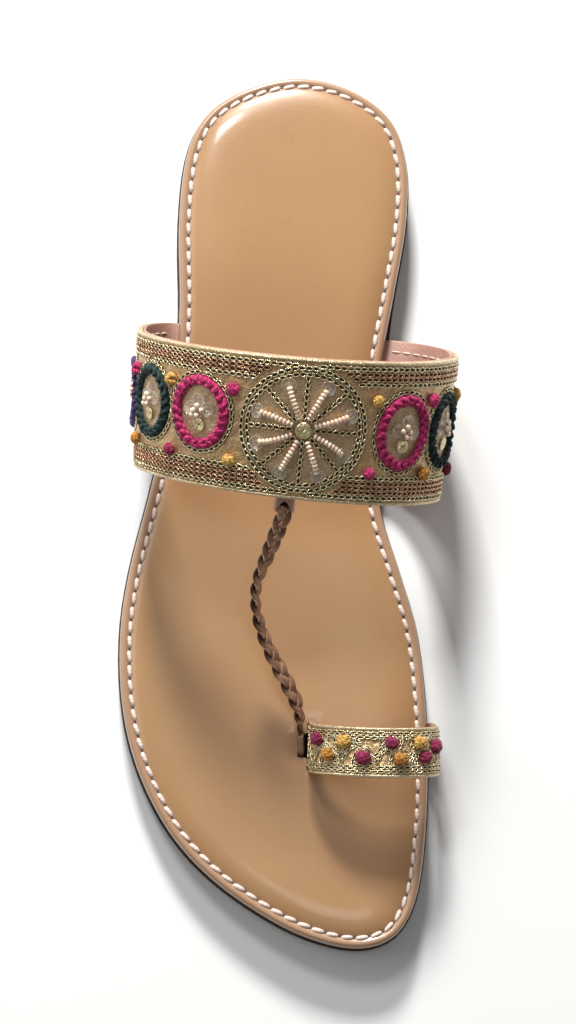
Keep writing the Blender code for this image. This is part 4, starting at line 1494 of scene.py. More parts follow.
@dataclass(frozen=True)
class Ornament:
    """Beads, sequins, cloth patches and wool that are sewn on a strap."""

    cloth: ClothMap

    def patch(self, blank: Blank, outline: Array, dome: float, base: float = 0.00006) -> None:
        """A patch of cloth, a little domed.

        Args:
            blank: the mesh that takes it.
            outline: (n, 2) places of its edge.
            dome: how far its middle rises.
            base: how far its edge lies off the strap.
        """
        middle = outline.mean(axis=0)
        shares = np.array([0.02, 0.15, 0.3, 0.45, 0.6, 0.75, 0.88, 0.96, 1.0])
        flat = middle + (outline - middle)[None] * shares[:, None, None]
        lift = base + dome * (1 - shares**2)
        grid = joined(flat[..., 0], flat[..., 1], lift[:, None])
        blank.add_grid(self.cloth.map(grid), shares * 0.01, np.linspace(0, 0.06, len(outline) + 1), closed_columns=True)

    def beads(self, blank: Blank, centres: Array, radius: float, squash: float) -> None:
        """Adds small beads, squash times as high as wide, round places on the cloth."""
        blank.add_grid(self.cloth.map(ball(radius, squash) + centres[:, None, None]), closed_rows=True)

    def strung(self, blank: Blank, centres: Array, radius: float, half_length: float, heading: Array) -> None:
        """Flattened beads on a string.

        Args:
            blank: the mesh that takes them.
            centres: (n, 3) places on the cloth.
            radius: their radius round the string.
            half_length: half their length along it.
            heading: where the string points at each.
        """
        swell = np.linspace(0.86, 1.0, len(centres))[:, None, None, None]
        tilts = np.linspace(-math.pi / 2, math.pi / 2, 9)
        barrel = [(radius * max(math.cos(t), 0.02) ** 0.62, half_length * math.sin(t)) for t in tilts]
        lying = lathe(barrel, 12)[..., [2, 0, 1]]
        turned = flat_turn(lying * swell, heading[:, None, None])
        blank.add_grid(self.cloth.map(turned + centres[:, None, None, :]), closed_rows=True)

    def sequin(self, blank: Blank, centre: Sequence[float], radius: float, tilt: float, heading: float) -> None:
        """One cupped sequin with its hole.

        Args:
            blank: the mesh that takes it.
            centre: its place on the cloth.
            radius: its radius.
            tilt: how far it leans, in radians.
            heading: which way it leans.
        """
        hole, cup = radius * 0.16, radius * 0.16
        profile = [
            (hole, cup * 0.1), (radius * 0.45, cup * 0.25), (radius * 0.78, cup * 0.9), (radius, cup * 1.25),
            (radius * 0.99, cup * 1.25 - 0.00009), (radius * 0.78, cup * 0.9 - 0.0001), (hole, cup * 0.1 - 0.0001),
        ]
        leant = flat_turn(lathe(profile, 20)[..., [2, 0, 1]], tilt)[..., [1, 2, 0]]
        disc = flat_turn(leant, heading)
        blank.add_grid(self.cloth.map(disc + np.asarray(centre)), closed_rows=True, closed_columns=True)

    def wool_ball(self, blank: Blank, centre: Pair, radius: float, seed: int) -> None:
        """A knot of wool: turns of yarn wound over a soft core.

        Args:
            blank: the mesh that takes it.
            centre: its middle on the cloth.
            radius: half its width.
            seed: the seed of how it is wound.
        """
        rng = np.random.default_rng(seed)
        yarn = radius * 0.30
        inner = radius - yarn
        height = radius * 0.62
        core = ball(inner * 0.92, 0.62, 12, 7)
        core[..., :2] += centre
        core[..., 2] += height * 0.75
        blank.add_grid(self.cloth.map(core), closed_rows=True)
        steps, sides = 20, 6
        turn = circle(steps)[:, None]
        for k in range(7):
            axis = unit(rng.normal(size=3) * (1, 1, 0.55))
            first = unit(np.cross(axis, (0.3, 0.2, 1.0)))
            second = np.cross(axis, first)
            offset = rng.uniform(-0.35, 0.35)
            path = (first * np.cos(turn) + second * np.sin(turn)) * math.sqrt(1 - offset**2) + axis * offset
            path *= inner * (1 + 0.05 * np.sin(turn * 3 + k))
            tube = swept(path, unit(path), axis[None], rounded(sides, 1.0) * yarn)
            tube[..., 2] = np.maximum(tube[..., 2] * 0.68 + height * 0.8, 0.00005)
            tube[..., :2] += centre
            blank.add_grid(
                self.cloth.map(tube), np.linspace(0, FULL_TURN * inner, steps + 1), np.arange(sides + 1) / sides,
                closed_rows=True, closed_columns=True,
            )


@dataclass(frozen=True)
class InstepBand:
    """The arched band: cloth, lining, piping, borders of chain stitch, rosette, yarn rings and knots."""

    sole: SoleForm
    plan: TrimPlan = TrimPlan()
    along: float = 0.0755
    strap_width: float = 0.0405
    half_span: float = 0.0452
    crown: float = 0.0650
    hip: float = 0.0255
    centre: float = -0.0008
    lean: float = 0.345
    skew: float = 0.0030
    thickness: float = 0.0022
    tongue: float = 0.0140
    corner: float = 0.8
    chain: ChainStitch = ChainStitch()
    heel_rows: tuple[tuple[float, str], ...] = (
        (0.00205, "gold"), (0.00350, "copper"), (0.00480, "copper"), (0.00630, "gold"),
    )
    toe_rows: tuple[tuple[float, str], ...] = (
        (0.00205, "gold"), (0.00350, "copper"), (0.00475, "copper"), (0.00600, "copper"), (0.00745, "gold"),
    )

    def edge(self, along: float, skew: float, shares: tuple[float, float, float, float]) -> StrapEdge:
        """One edge of the band.

        Args:
            along: where it leaves the sole.
            skew: its skew.
            shares: its inner reach, outer reach, hip and crown, as shares of the band's.

        Returns:
            The edge.
        """
        feet = []
        for outer in (False, True):
            across = self.sole.edge_across(along, outer)
            feet.append(self.sole.edge_across(along - skew * (across - self.centre) / self.half_span, outer))
        inner, outer_share, hip, crown = shares
        return StrapEdge(
            along, skew, feet[0], feet[1], self.centre - self.half_span * inner,
            self.centre + self.half_span * outer_share, self.hip * hip * self.corner, self.hip * hip,
            self.crown * crown,
        )

    def form(self) -> StrapForm:
        """The band's form.

        Returns:
            The same surface as the solid has.
        """
        heel_edge = self.edge(self.along, self.skew * 0.8, (0.96, 0.94, 1.0, 1.0))
        toe_edge = self.edge(self.along + self.strap_width, self.skew * 1.3, (0.86, 0.94, 0.92, 0.78))
        return StrapForm(
            self.sole, heel_edge, toe_edge, self.centre, self.half_span, self.lean, self.tongue, self.thickness
        )

    def build(self) -> Pieces:
        """Makes the band's pieces.

        Returns:
            The pieces.
        """
        cloth = ClothMap(self.form())
        shell = StrapShell(cloth, "instep_band")
        pieces = shell.build("instep_band")
        pieces.append(shell.seam(0.0032, 0.0036))
        pieces += self.borders(cloth)
        pieces += Rosette(cloth, self.plan).build()
        pieces += self.rings(cloth)
        pieces += sewn_knots(cloth, "band_knots", self.plan.knots(), 0.00192)
        return pieces

    def borders(self, cloth: ClothMap) -> Pieces:
        """The rows of chain stitch along both edges.

        Args:
            cloth: the band's cloth.

        Returns:
            The gold rows, the copper rows and the painted shade under them.
        """
        threads = {"gold": Blank(), "copper": Blank()}
        ground = Blank()
        start, end = cloth.reach()
        distance = np.linspace(start + 0.001, end - 0.001, 240)
        seed = 20
        for sign, rows in ((-1, self.heel_rows), (1, self.toe_rows)):
            for inset, colour in rows:
                aside = sign * (cloth.width / 2 - inset)
                line = joined(distance, aside)
                seed += 1
                margin = 0.0001 if inset < 0.003 else 0.0009
                self.chain.lay(
                    threads[colour], cloth, line, seed=seed, ground=ground,
                    keep=lambda places, m=margin: self.plan.clear_of_motifs(places, m),
                )
        return build_all(
            Slot.CLOTH, ("band_border_gold", threads["gold"], GOLD_THREAD),
            ("band_border_copper", threads["copper"], COPPER_THREAD), ("band_border_ground", ground, SHADE),
        )

    def rings(self, cloth: ClothMap) -> Pieces:
        """The yarn rings with their gold outlines, patches, beads and sequins.

        Args:
            cloth: the band's cloth.

        Returns:
            The pieces.
        """
        plan = self.plan
        outlines, ground, patches, pearls, sequins, foils = (Blank() for _ in range(6))
        outline = ChainStitch(width=0.00142, thread=0.00042)
        crochet = ChainStitch(
            pitch=0.00235, width=plan.yarn_width, thread=0.00132, overlap=1.5, steps=14, sides=8, lift=0.00072
        )
        pieces = []
        ornament = Ornament(cloth)
        for number, (node, wool, centre) in enumerate(plan.motifs()):
            half_length, half_width = plan.motif_length / 2, plan.motif_width / 2
            edge = oval(centre, half_length + plan.outline_gap, half_width + plan.outline_gap)
            outline.lay(outlines, cloth, edge, closed=True, seed=60 + number, ground=ground)
            mid = plan.yarn_width / 2
            yarn = Blank()
            crochet.lay(yarn, cloth, oval(centre, half_length - mid, half_width - mid), closed=True, seed=80 + number)
            self.yarn_bed(yarn, cloth, centre)
            ring = yarn.build(f"{node}_crochet", WoolYarn(wool), wool.slot)
            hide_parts(node)
            pieces.append(ring)
            inner = plan.yarn_width * 0.8
            ornament.patch(patches, oval(centre, half_length - inner, half_width - inner, 40), 0.0003, 0.0001)
            self.sprig(ornament, pearls, sequins, foils, centre, number)
        return pieces + build_all(
            Slot.STITCHED, ("yarn_ring_outlines", outlines, GOLD_THREAD), ("yarn_ring_outline_ground", ground, SHADE),
            ("yarn_ring_patches", patches, PEACH_CLOTH), ("yarn_ring_pearls", pearls, PEARL),
            ("yarn_ring_clear_sequins", sequins, ClearSequin()), ("yarn_ring_foil_sequins", foils, FOIL),
        )

    def yarn_bed(self, blank: Blank, cloth: ClothMap, centre: Pair) -> None:
        """The padding yarn under the crochet, so that no cloth shows through it.

        Args:
            blank: the mesh that takes it.
            cloth: the band's cloth.
            centre: the ring's middle.
        """
        plan = self.plan
        mid = plan.yarn_width / 2
        turns, section = circle(72)[:, None], np.linspace(0, math.pi, 7)
        out = np.cos(section) * plan.yarn_width * 0.42
        grid = joined(
            centre[0] + (plan.motif_length / 2 - mid + out) * np.cos(turns),
            centre[1] + (plan.motif_width / 2 - mid + out) * np.sin(turns),
            np.sin(section) * 0.00105 + 0.00005,
        )
        blank.add_grid(cloth.map(grid), np.linspace(0, 0.052, 73), np.linspace(0, 0.5, 7), closed_rows=True)

    def sprig(
        self, ornament: Ornament, pearls: Blank, sequins: Blank, foils: Blank, centre: Pair, seed: int
    ) -> None:
        """The beads and sequins inside one ring.

        Args:
            ornament: sews them on.
            pearls: takes the beads.
            sequins: takes the clear sequins.
            foils: takes the foil sequin.
            centre: the ring's middle.
            seed: the seed of their small differences.
        """
        rng = np.random.default_rng(300 + seed)
        sign = 1 if centre[0] > 0 else -1
        spots = ((0.0, -0.0032), (0.0026, -0.0006), (-0.0027, -0.0010))
        for x, y in spots:
            jitter = rng.normal(0, 0.00025, 2)
            ornament.sequin(
                sequins,
                (centre[0] + sign * x + jitter[0], centre[1] + y + jitter[1], 0.00055),
                0.0021, rng.uniform(0.05, 0.28), rng.uniform(0, FULL_TURN),
            )
        ornament.sequin(foils, (centre[0] - sign * 0.0003, centre[1] + 0.0036, 0.0006), 0.0018, 0.12, 1.2)
        beads = [(0.0, -0.0019), (0.0012, -0.0004), (-0.0013, -0.0007), (0.0001, 0.0009), (0.0016, 0.0010)]
        centres = [(centre[0] + sign * x, centre[1] + y, 0.0014 + rng.uniform(0, 0.0003)) for x, y in beads]
        ornament.beads(pearls, np.array(centres), 0.00078, 0.85)


@dataclass(frozen=True)
class Rosette:
    """The flower at the crown: a cloth field, a double chain round it, chain spokes, beaded petals and a button."""

    cloth: ClothMap
    plan: TrimPlan
    petals: int = 8
    beads: int = 9
    bead_radius: float = 0.00092
    bead_length: float = 0.00056
    petal_start: float = 0.0036
    petal_end: float = 0.0122
    button: float = 0.0023

    def around(self, radius: Array | float, turn: Array | float) -> tuple[Array, Array]:
        """Distance and aside at a radius and a turn from the outer side."""
        return self.plan.shift + radius * np.cos(turn), radius * np.sin(turn)

    def build(self) -> Pieces:
        """Makes the rosette's pieces.

        Returns:
            The pieces.
        """
        cloth, ornament = self.cloth, Ornament(self.cloth)
        centre = (self.plan.shift, 0.0)
        field_cloth, chains, ground, pearls, sequins, foil = (Blank() for _ in range(6))
        radius = self.plan.rosette_radius
        ornament.patch(field_cloth, oval(centre, radius - 0.0004, radius - 0.0004, 96), 0.0)
        chain = ChainStitch()
        for k, inset in enumerate((0.0007, 0.0023)):
            edge = oval(centre, radius - inset, radius - inset)
            chain.lay(chains, cloth, edge, True, seed=5 + k, ground=ground, base=0.00005)
        for k in range(self.petals):
            turn = FULL_TURN * k / self.petals
            radii = np.array([0.0029, radius - 0.0028])
            line = np.column_stack(self.around(radii, turn))
            chain.lay(chains, cloth, line, seed=30 + k, ground=ground, base=0.00005)
            self.petal(ornament, pearls, sequins, turn + math.pi / self.petals, k)
        top = 0.00125
        profile = [
            (0.00003, top), (0.0007, top - 0.00002), (0.0013, top + 0.00002), (0.0018, top), (0.0021, top - 0.0001),
            (self.button, top - 0.0004), (self.button, 0.0002), (0.00003, 0.0002),
        ]
        disc = lathe(profile, 40)
        disc[..., :2] *= 1 + 0.03 * np.sin(circle(40) * 10)[:, None, None]
        foil.add_grid(cloth.map(disc + np.array([*centre, 0.0])), closed_rows=True, closed_columns=True)
        pieces = build_all(
            Slot.STITCHED, ("rosette_field", field_cloth, PEACH_CLOTH), ("rosette_chains", chains, GOLD_THREAD),
            ("rosette_chain_ground", ground, SHADE), ("rosette_petals", pearls, PEARL),
            ("rosette_sequins", sequins, ClearSequin()), ("rosette_button", foil, FOIL),
        )
        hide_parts("rosette")
        return pieces

    def petal(self, ornament: Ornament, pearls: Blank, sequins: Blank, turn: float, seed: int) -> None:
        """One petal: a string of beads that bows off the cloth, with a sequin at its tip.

        Args:
            ornament: sews it on.
            pearls: takes the beads.
            sequins: takes the sequin.
            turn: where the petal points.
            seed: the seed of its small differences.
        """
        rng = np.random.default_rng(500 + seed)
        share = np.linspace(0, 1, self.beads)
        radii = self.petal_start + (self.petal_end - self.petal_start) * share
        bend = turn + rng.normal(0, 0.03) + 0.05 * rng.normal() * share**2
        distance, aside = self.around(radii, bend)
        lift = 0.00085 + 0.00075 * np.sin(math.pi * share) + rng.normal(0, 0.00004, self.beads)
        ornament.strung(pearls, joined(distance, aside, lift), self.bead_radius, self.bead_length, bend)
        tip = self.around(self.petal_end + 0.0011, float(bend[-1]))
        ornament.sequin(sequins, (*tip, 0.00055), 0.0021, rng.uniform(0.0, 0.2), rng.uniform(0, FULL_TURN))


def sewn_knots(
    cloth: ClothMap, name: str, knots: list[Sewn], radius: float,
    deep: Mapping[Wool, float] | None = None,
) -> Pieces:
    """Makes the wool knots, one piece for each wool.

    Args:
        cloth: the strap that they are sewn to.
        name: the start of the pieces' names.
        knots: the node, the wool and the middle of each.
        radius: half the width of a knot.
        deep: how far the wools that are dyed deeper here are darkened.

    Returns:
        The pieces.
    """
    ornament = Ornament(cloth)
    pieces = []
    for wool in Wool:
        chosen = [(node, centre) for node, kind, centre in knots if kind is wool]
        if not chosen:
            continue
        blank = Blank()
        for k, (node, centre) in enumerate(chosen):
            ornament.wool_ball(blank, centre, radius * (1 + 0.07 * math.sin(k * 2.3)), 700 + 10 * k + len(node))
        piece = blank.build(f"{name}_{wool.name.lower()}", WoolYarn(wool, (deep or {}).get(wool, 1.0)), wool.slot)
        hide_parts(*[node for node, _ in chosen])
        pieces.append(piece)
    return pieces


@dataclass(frozen=True)
class ToeRing:
    """The ring round the big toe, with its two borders, its wave of chain stitch and its knots."""

    sole: SoleForm
    along: float = 0.1880
    strap_width: float = 0.0142
    crown: float = 0.0242
    hip: float = 0.0118
    slot_across: float = -0.0092
    lean: float = 0.19
    thickness: float = 0.0016
    tongue: float = 0.0075
    corner: float = 0.0016
    rim_gap: float = 0.0008
    arc_reach: float = 0.0031
    arc_border: float = 0.0041
    wave: float = 0.0026
    wave_pitch: float = 0.0098
    wave_gap: float = 0.0019
    knot_rows: tuple[tuple[float, float, Wool], ...] = (
        (1.28, -0.21, Wool.PINK), (1.00, 0.08, Wool.ORANGE), (0.66, -0.19, Wool.YELLOW), (0.28, 0.10, Wool.PINK),
        (-0.27, -0.20, Wool.PINK), (-0.45, 0.12, Wool.ORANGE), (-0.86, -0.19, Wool.YELLOW), (-1.00, 0.10, Wool.ROSE),
        (-1.31, -0.10, Wool.PINK),
    )

    def edge(self, along: float, crown_share: float) -> StrapEdge:
        """The ring's edge that leaves the sole at along and rises to a share of the ring's height."""
        rim = self.sole.edge_across(along, outer=False)
        return StrapEdge(
            along, 0.0, rim + self.rim_gap / 2, self.slot_across - self.corner, rim - self.rim_gap, self.slot_across,
            self.corner * 1.25, self.hip, self.crown * crown_share,
        )

    def form(self) -> StrapForm:
        """The ring's form.

        Returns:
            The same surface as the solid has.
        """
        heel_edge = self.edge(self.along, 1.0)
        centre = (heel_edge.inner_reach + heel_edge.outer_reach) / 2
        half = (heel_edge.outer_reach - heel_edge.inner_reach) / 2
        toe_edge = self.edge(self.along + self.strap_width, 0.96)
        return StrapForm(self.sole, heel_edge, toe_edge, centre, half, self.lean, self.tongue, self.thickness)

    def build(self) -> Pieces:
        """Makes the ring's pieces.

        Returns:
            The pieces.
        """
        cloth = ClothMap(self.form())
        shell = StrapShell(cloth, "toe_ring", piping_radius=0.00046, piping_inset=0.00054, first=0.9, steps=200)
        pieces = shell.build("toe_ring")
        gold, ground = Blank(), Blank()
        start, end = cloth.reach()
        distance = np.linspace(start + 0.0025, end - 0.0028, 160)
        half = cloth.width / 2
        chain = ChainStitch(pitch=0.0019, width=0.00125, thread=0.00042)
        for k, aside in enumerate((-half + 0.0017, -half + 0.0029, half - 0.0029, half - 0.0017)):
            line = joined(distance, aside)
            chain.lay(gold, cloth, line, seed=200 + k, ground=ground)
        swing = self.wave * np.sin(distance * (FULL_TURN / self.wave_pitch) + 0.5)
        for k, shift in enumerate((-self.wave_gap / 2, self.wave_gap / 2)):
            chain.lay(gold, cloth, joined(distance, swing + shift), seed=230 + k, ground=ground)
        for k, (d, a, _) in enumerate(self.knot_rows):
            side = -1 if a < 0 else 1
            depth = side * (self.arc_border + self.arc_reach * 0.9) - a * self.strap_width
            turns = np.linspace(0, math.pi, 24)
            arc = joined(
                d * self.strap_width + self.arc_reach * np.cos(turns), side * self.arc_border - depth * np.sin(turns)
            )
            chain.lay(gold, cloth, arc, seed=210 + k, ground=ground)
        knots = [
            (f"ring_knot_{k + 1}", wool, (d * self.strap_width, a * self.strap_width))
            for k, (d, a, wool) in enumerate(self.knot_rows)
        ]
        pieces += build_all(
            Slot.CLOTH, ("toe_ring_chains", gold, GOLD_THREAD), ("toe_ring_chain_ground", ground, SHADE)
        )
        deep = {Wool.PINK: 0.52, Wool.ROSE: 0.75, Wool.ORANGE: 0.8}
        return pieces + sewn_knots(cloth, "toe_ring_knots", knots, 0.00208, deep)


# Plait


@dataclass(frozen=True)
class Plait:
    """The plait of three flat strands between the toe slot and its folded tab."""

    sole: SoleForm
    band: InstepBand
    ring: ToeRing
    width: float = 0.0044
    thickness: float = 0.0023
    pitch: float = 0.0052
    end_gap: float = 0.0008
    tab_width: float = 0.0056
    tab_length: float = 0.0090
    tab_showing: float = 0.0048
    tab_thickness: float = 0.0018
    tab_aside: float = 0.0016
    strand_width: float = 0.00215
    strand_thickness: float = 0.00092
    beside_ring: float = 0.0010
    foot_share: float = 0.62
    edge_rise: float = 0.0004
    flat_end: float = 0.0090
    tongue_width: float = 0.0041
    tongue_thickness: float = 0.00200
    tab_wall: float = 0.00062
    tab_notch: float = 0.0034
    sleeve_reach: float = 0.0024
    route: tuple[tuple[float, float, float, float], ...] = (
        (0.000, 0.000, 0.000, 90.0), (0.081, -0.004, 0.005, 84.0), (0.178, -0.003, -0.016, 62.0),
        (0.277, 0.025, -0.034, 34.0), (0.386, 0.066, -0.063, 36.0), (0.503, 0.103, -0.091, 58.0),
        (0.621, 0.123, -0.103, 76.0), (0.729, 0.113, -0.096, 62.0), (0.837, 0.069, -0.067, 28.0),
        (0.928, 0.029, -0.030, 6.0), (1.000, 0.000, 0.000, 0.0),
    )

    def tab_frame(self) -> tuple[Array, Array]:
        """Where the tab sits under the band's toe edge.

        Returns:
            Its middle, and the directions across it, forward along the lining, and away from the foot, as rows.
        """
        cloth = ClothMap(self.band.form())
        strap = cloth.strap
        place = np.interp(cloth.middle + self.tab_aside, cloth.runs, cloth.places)
        away = cloth.outward[int(round(place / cloth.LAST * 1400)), -1]
        edge, inside = strap.lining(np.array([place, place]), np.array([1.0, 0.8]))
        forward = unit(edge - inside)
        side = unit(np.cross(forward, away))
        spot = edge - away * (strap.piece_gap + self.tab_thickness / 2)
        spot = spot + forward * (self.tab_showing - self.tab_length / 2)
        return spot, np.stack([side, forward, away])

    def line(self, samples: int) -> tuple[Array, Array]:
        """The plait's middle line, from the slot to the tab.

        Args:
            samples: how many points are wanted.

        Returns:
            The points, spaced evenly, and the plait's turn at each.
        """
        ring = self.ring
        across = ring.slot_across + ring.thickness + self.edge_rise + self.beside_ring + self.thickness * 0.45
        along = ring.along + ring.strap_width * self.foot_share
        foot = np.array([across, along - self.sole.heel_seat, float(self.sole.footbed_top(along))])
        spot, axes = self.tab_frame()
        end = spot + axes[1] * (self.tab_length / 2 + self.end_gap)
        tucked = end - axes[1] * self.sleeve_reach
        span = np.linalg.norm(end - foot)
        knots = [foot - (0, 0, self.sole.footbed - 0.0003)]
        turns = [self.route[0][3]]
        for share, aside, above, turn in self.route:
            knots.append(foot + (end - foot) * share + np.array([aside, 0, above]) * span)
            turns.append(turn)
        knots = np.array([*knots, tucked])
        turns.append(turns[-1])
        runs = run_along(knots)
        chords = np.concatenate([[0.0], np.cumsum(np.sqrt(np.diff(runs)))])
        curve = self.through(knots, chords, np.linspace(0, chords[-1], 240))
        points = resample(curve, samples, closed=False)
        return points, np.interp(np.linspace(0, 1, samples), runs / runs[-1], turns)

    @staticmethod
    def blend(points: Array, low: Array, high: Array, wanted: float) -> Array:
        """Each point blended with the next, by where the wanted parameter lies from low to high."""
        share = ((wanted - low) / (high - low))[:, None]
        return points[:-1] * (1 - share) + points[1:] * share

    @staticmethod
    def through(knots: Array, chords: Array, wanted: Array) -> Array:
        """A centripetal Catmull-Rom curve through knots.

        Args:
            knots: (n, 3) places.
            chords: the parameter at each.
            wanted: the parameters of the points that are wanted.

        Returns:
            The points.
        """
        padded = np.vstack([2 * knots[0] - knots[1], knots, 2 * knots[-1] - knots[-2]])
        steps = np.sqrt(np.linalg.norm(np.diff(padded, axis=0), axis=1))
        times = np.concatenate([[chords[0] - steps[0]], chords, [chords[-1] + steps[-1]]])
        found = []
        for t in wanted:
            i = min(int(np.searchsorted(chords, t, side="right")) - 1, len(knots) - 2)
            s = times[i : i + 4]
            pairs = Plait.blend(padded[i : i + 4], s[:-1], s[1:], t)
            found.append(Plait.blend(Plait.blend(pairs, s[:-2], s[2:], t), s[1:2], s[2:3], t)[0])
        return np.array(found)

    def build(self) -> Pieces:
        """Makes the strands and the tab.

        Returns:
            The pieces.
        """
        length = run_along(self.line(200)[0])[-1]
        samples = int(length / 0.00032)
        points, rolls = self.line(samples)
        run, rolls = unit(np.gradient(points, axis=0)), np.radians(rolls)[:, None]
        level = unit((1.0, 0, 0) - run * run[:, :1])
        flats = level * np.cos(rolls) + np.cross(run, level) * np.sin(rolls)
        thick = np.cross(run, flats)
        blank = Blank()
        s = np.linspace(0, length, samples)
        loose = np.clip((s - self.flat_end) / self.pitch, 0, 1)
        swing = (self.width - self.strand_width) / 2 * (0.55 + 0.45 * loose)
        depth = (self.thickness - self.strand_thickness) / 2 * (0.15 + 0.85 * loose)
        form = rounded(16, 0.55) * (self.strand_width / 2, self.strand_thickness / 2)
        for k in range(3):
            phase = (s - self.flat_end) * (FULL_TURN / (3 * self.pitch)) * loose + FULL_TURN * k / 3
            wave = np.sin(phase) - np.sin(3 * phase) / 9
            rise = np.sin(2 * phase)
            path = points + flats * (swing * wave)[:, None] + thick * (depth * rise)[:, None]
            tangent = unit(np.gradient(path, axis=0))
            lean = (-0.5 * np.cos(phase) * loose)[:, None]
            side = unit(np.cross(tangent, thick * np.cos(lean) + flats * np.sin(lean) * 0.3))
            grid = swept(path, side, np.cross(side, tangent), form)
            # Painted light by tone: the strands' low parts, deep in the plait, get painted shade, darkest at their
            # rims; the rims of their high parts get the painted highlight
            rim = np.abs(form[:, 0]) / (self.strand_width / 2)
            low = (0.5 - 0.5 * rise * loose)[:, None]
            tone = np.clip(0.22 + 0.50 * low + 0.60 * rim**6 * low - 0.42 * rim**5 * (1 - low), 0, 1)
            kept = s > self.flat_end - self.pitch * 0.6
            blank.add_grid(grid[kept], s[kept], np.linspace(0, 1, 17), closed_columns=True, tone=tone[kept])
        strands = blank.build("plait_strands", CopperLeather(), Slot.COPPER.value)
        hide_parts("plait")
        return [strands, self.tongue(points, flats, thick, s), self.tab()]

    def tongue(self, points: Array, flats: Array, thick: Array, s: Array) -> bpy.types.Object:
        """The uncut end of the plait's strip, which goes down beside the ring's leg.

        Args:
            points: the plait's middle line.
            flats: the direction across the plait at each point.
            thick: the direction through it.
            s: the run along it.

        Returns:
            The piece.
        """
        kept = s < self.flat_end + self.pitch * 0.15
        share = s[kept] / s[kept][-1]
        width = self.tongue_width * (1 - 0.22 * share**3) * np.where(share > 0.985, 0.8, 1.0)
        height = self.tongue_thickness * np.where(share > 0.985, 0.6, 1.0)
        form = rounded(20, 0.4) / 2
        grid = swept(points[kept], flats[kept], thick[kept], form * joined(width, height)[:, None])
        blank = Blank()
        edge = np.abs(form[:, 0]) * 2
        # Painted highlight: the tongue's edges take the pale edge colour
        tone = np.broadcast_to(0.26 - 0.16 * edge**3, grid.shape[:2])
        blank.add_grid(grid, s[kept], np.linspace(0, 1, 21), closed_columns=True, tone=tone)
        blank.add_fan(grid[-1], grid[-1].mean(axis=0), flip=True)
        return blank.build("plait_tongue", CopperLeather(), Slot.COPPER.value)

    def tab(self) -> bpy.types.Object:
        """The folded tab: a strip wrapped round the end of the plait, open forward.

        Returns:
            The piece.
        """
        spot, axes = self.tab_frame()
        oblong = rounded(32, 0.75)
        wall, half_high = self.tab_wall, self.thickness / 2 + self.tab_wall
        back, front = -self.tab_length / 2, self.tab_length / 2
        rows, tones = [], []
        for y, inward in (
            (back, 0.0), (back * 0.5, 0.0), (0.0, 0.0), (front * 0.5, 0.0), (front - wall * 0.6, 0.0),
            (front - wall * 0.2, wall * 0.12), (front, wall * 0.5), (front - wall * 0.2, wall * 0.88),
            (front - wall * 0.7, wall), (front * 0.5, wall), (0.0, wall), (back * 0.5, wall),
        ):
            flare = 1.0 + 0.05 * (y > 0)
            ring = oblong * ((self.tab_width / 2) * flare - inward, half_high - inward)
            drop = -(half_high - self.tab_thickness / 2)
            front_share = np.clip((y - back) / (front - back), 0, 1) ** 2
            cut = self.tab_notch * front_share * (oblong[:, 1:] > 0) * np.clip(1 - (oblong[:, :1] / 0.72) ** 2, 0, 1)
            rows.append(axes[0] * ring[:, :1] + axes[1] * (y - cut) + axes[2] * (ring[:, 1:] + drop) + spot)
            # Painted shade: the inner face takes the crease colour; the outer face takes some of the pale edge colour
            tones.append(1.0 if inward > wall * 0.9 else 0.10)
        blank = Blank()
        blank.add_grid(np.array(rows), closed_columns=True, tone=np.repeat(tones, 32))
        piece = blank.build("plait_tab_fold", CopperLeather(), Slot.COPPER.value)
        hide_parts("plait_tab")
        return piece


# Studio


@dataclass(frozen=True)
class Lamp:
    """One soft lamp, aimed at the sandal."""

    name: str
    place: tuple[float, float, float]
    size: Pair
    power: float
    colour: Colour = (1.0, 1.0, 1.0)

    def build(self, target: Vector) -> None:
        """Hangs the lamp.

        Args:
            target: where it is aimed.
        """
        light = bpy.data.lights.new(self.name, "AREA")
        light.shape = "RECTANGLE"
        light.size, light.size_y = self.size
        light.energy = self.power
        light.color = self.colour
        lamp = bpy.data.objects.new(self.name, light)
        lamp.location = self.place
        lamp.rotation_euler = (target - lamp.location).to_track_quat("-Z", "Y").to_euler()
        bpy.context.scene.collection.objects.link(lamp)


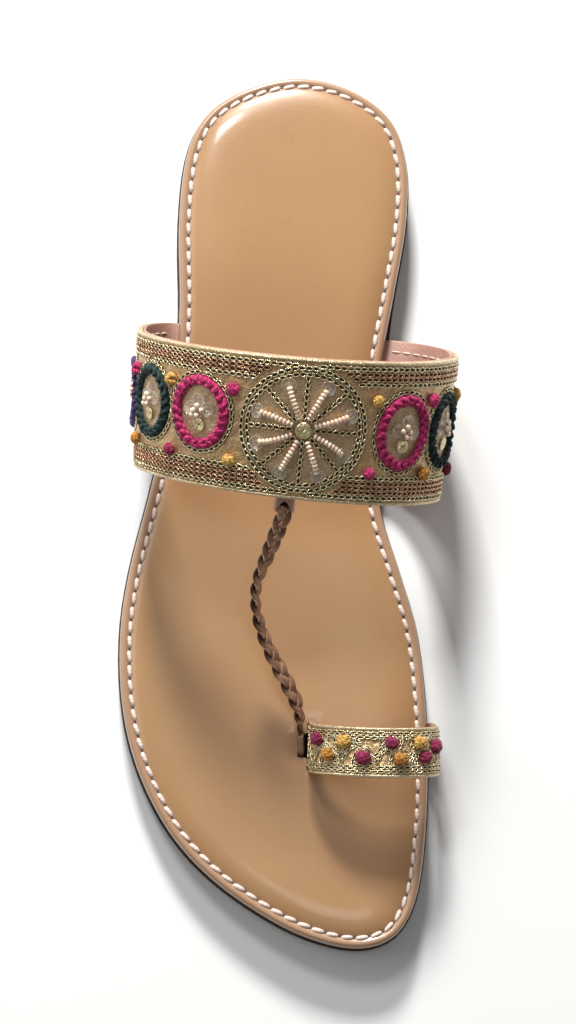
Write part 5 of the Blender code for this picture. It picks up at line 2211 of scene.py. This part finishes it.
@dataclass(frozen=True)
class Studio:
    """The pale floor, the soft lamps and the camera at the photo's angle."""

    camera_place: tuple[float, float, float] = (0.0352, 0.2586, 0.8953)
    camera_target: tuple[float, float, float] = (-0.0003, 0.0966, 0.0090)
    camera_up: tuple[float, float, float] = (0.0258, -0.9845, 0.1737)
    lens: float = 110.0
    floor_size: float = 12.0
    world: float = 0.19
    lamps: tuple[Lamp, ...] = (
        Lamp("key", (0.167, -1.258, 0.845), (0.26, 0.26), 38.0, (1.0, 0.985, 0.95)),
        Lamp("window", (0.36, -0.75, 1.13), (0.28, 0.26), 6.5, (0.97, 0.985, 1.0)),
        Lamp("fill", (1.20, -0.15, 0.75), (0.9, 0.9), 4.0, (1.0, 0.99, 0.97)),
        Lamp("ceiling", (-0.03, 0.18, 1.30), (0.36, 0.22), 0.72, (1.0, 0.98, 0.97)),
    )

    def build(self) -> None:
        """Sets up the floor, the world, the lamps and the camera."""
        scene = bpy.context.scene
        scene.view_settings.view_transform = "Standard"
        h = self.floor_size / 2
        mesh = bpy.data.meshes.new("studio_floor")
        mesh.from_pydata([(x, y, -0.0001) for x, y in ((-h, -h), (h, -h), (h, h), (-h, h))], [], [(0, 1, 2, 3)])
        mesh.materials.append(PaleFloor().material())
        floor = bpy.data.objects.new("studio_floor", mesh)
        scene.collection.objects.link(floor)
        world = bpy.data.worlds.new("studio")
        world.use_nodes = True
        world.node_tree.nodes["Background"].inputs["Color"].default_value = (1.0, 1.0, 1.0, 1.0)
        world.node_tree.nodes["Background"].inputs["Strength"].default_value = self.world
        scene.world = world
        target = Vector(self.camera_target)
        for lamp in self.lamps:
            lamp.build(target)
        camera = bpy.data.objects.new("camera", bpy.data.cameras.new("camera"))
        camera.data.lens = self.lens
        camera.data.clip_start = 0.01
        camera.data.dof.use_dof = False
        forward = (target - Vector(self.camera_place)).normalized()
        right = forward.cross(Vector(self.camera_up)).normalized()
        up = right.cross(forward)
        turn = Matrix((right, up, -forward)).transposed().to_4x4()
        camera.matrix_world = Matrix.Translation(self.camera_place) @ turn
        scene.collection.objects.link(camera)
        scene.camera = camera


def dress_outsole() -> Pieces:
    """Gives the solid outsole its rubber.

    Returns:
        The outsole.
    """
    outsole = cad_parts["outsole"]
    outsole.data.materials.clear()
    outsole.data.materials.append(MouldedRubber().material())
    return [outsole]


def report(title: str, pieces: Pieces) -> None:
    """Logs the pieces of a sub-assembly."""
    for piece in pieces:
        LOG.info("%s: %s, %d faces", title, piece.name, len(piece.data.polygons))


def main() -> None:
    """Builds the sandal's looks and the studio."""
    logging.basicConfig(level=logging.INFO, format="%(message)s")
    sole = SoleForm()
    band = InstepBand(sole)
    ring = ToeRing(sole)
    report("outsole", dress_outsole())
    report("footbed", FootbedPiece(sole).build())
    report("instep band", band.build())
    report("toe ring", ring.build())
    report("plait", Plait(sole, band, ring).build())
    Studio().build()
    LOG.info("studio: floor, lamps and camera")


if __name__ == "__main__":
    main()
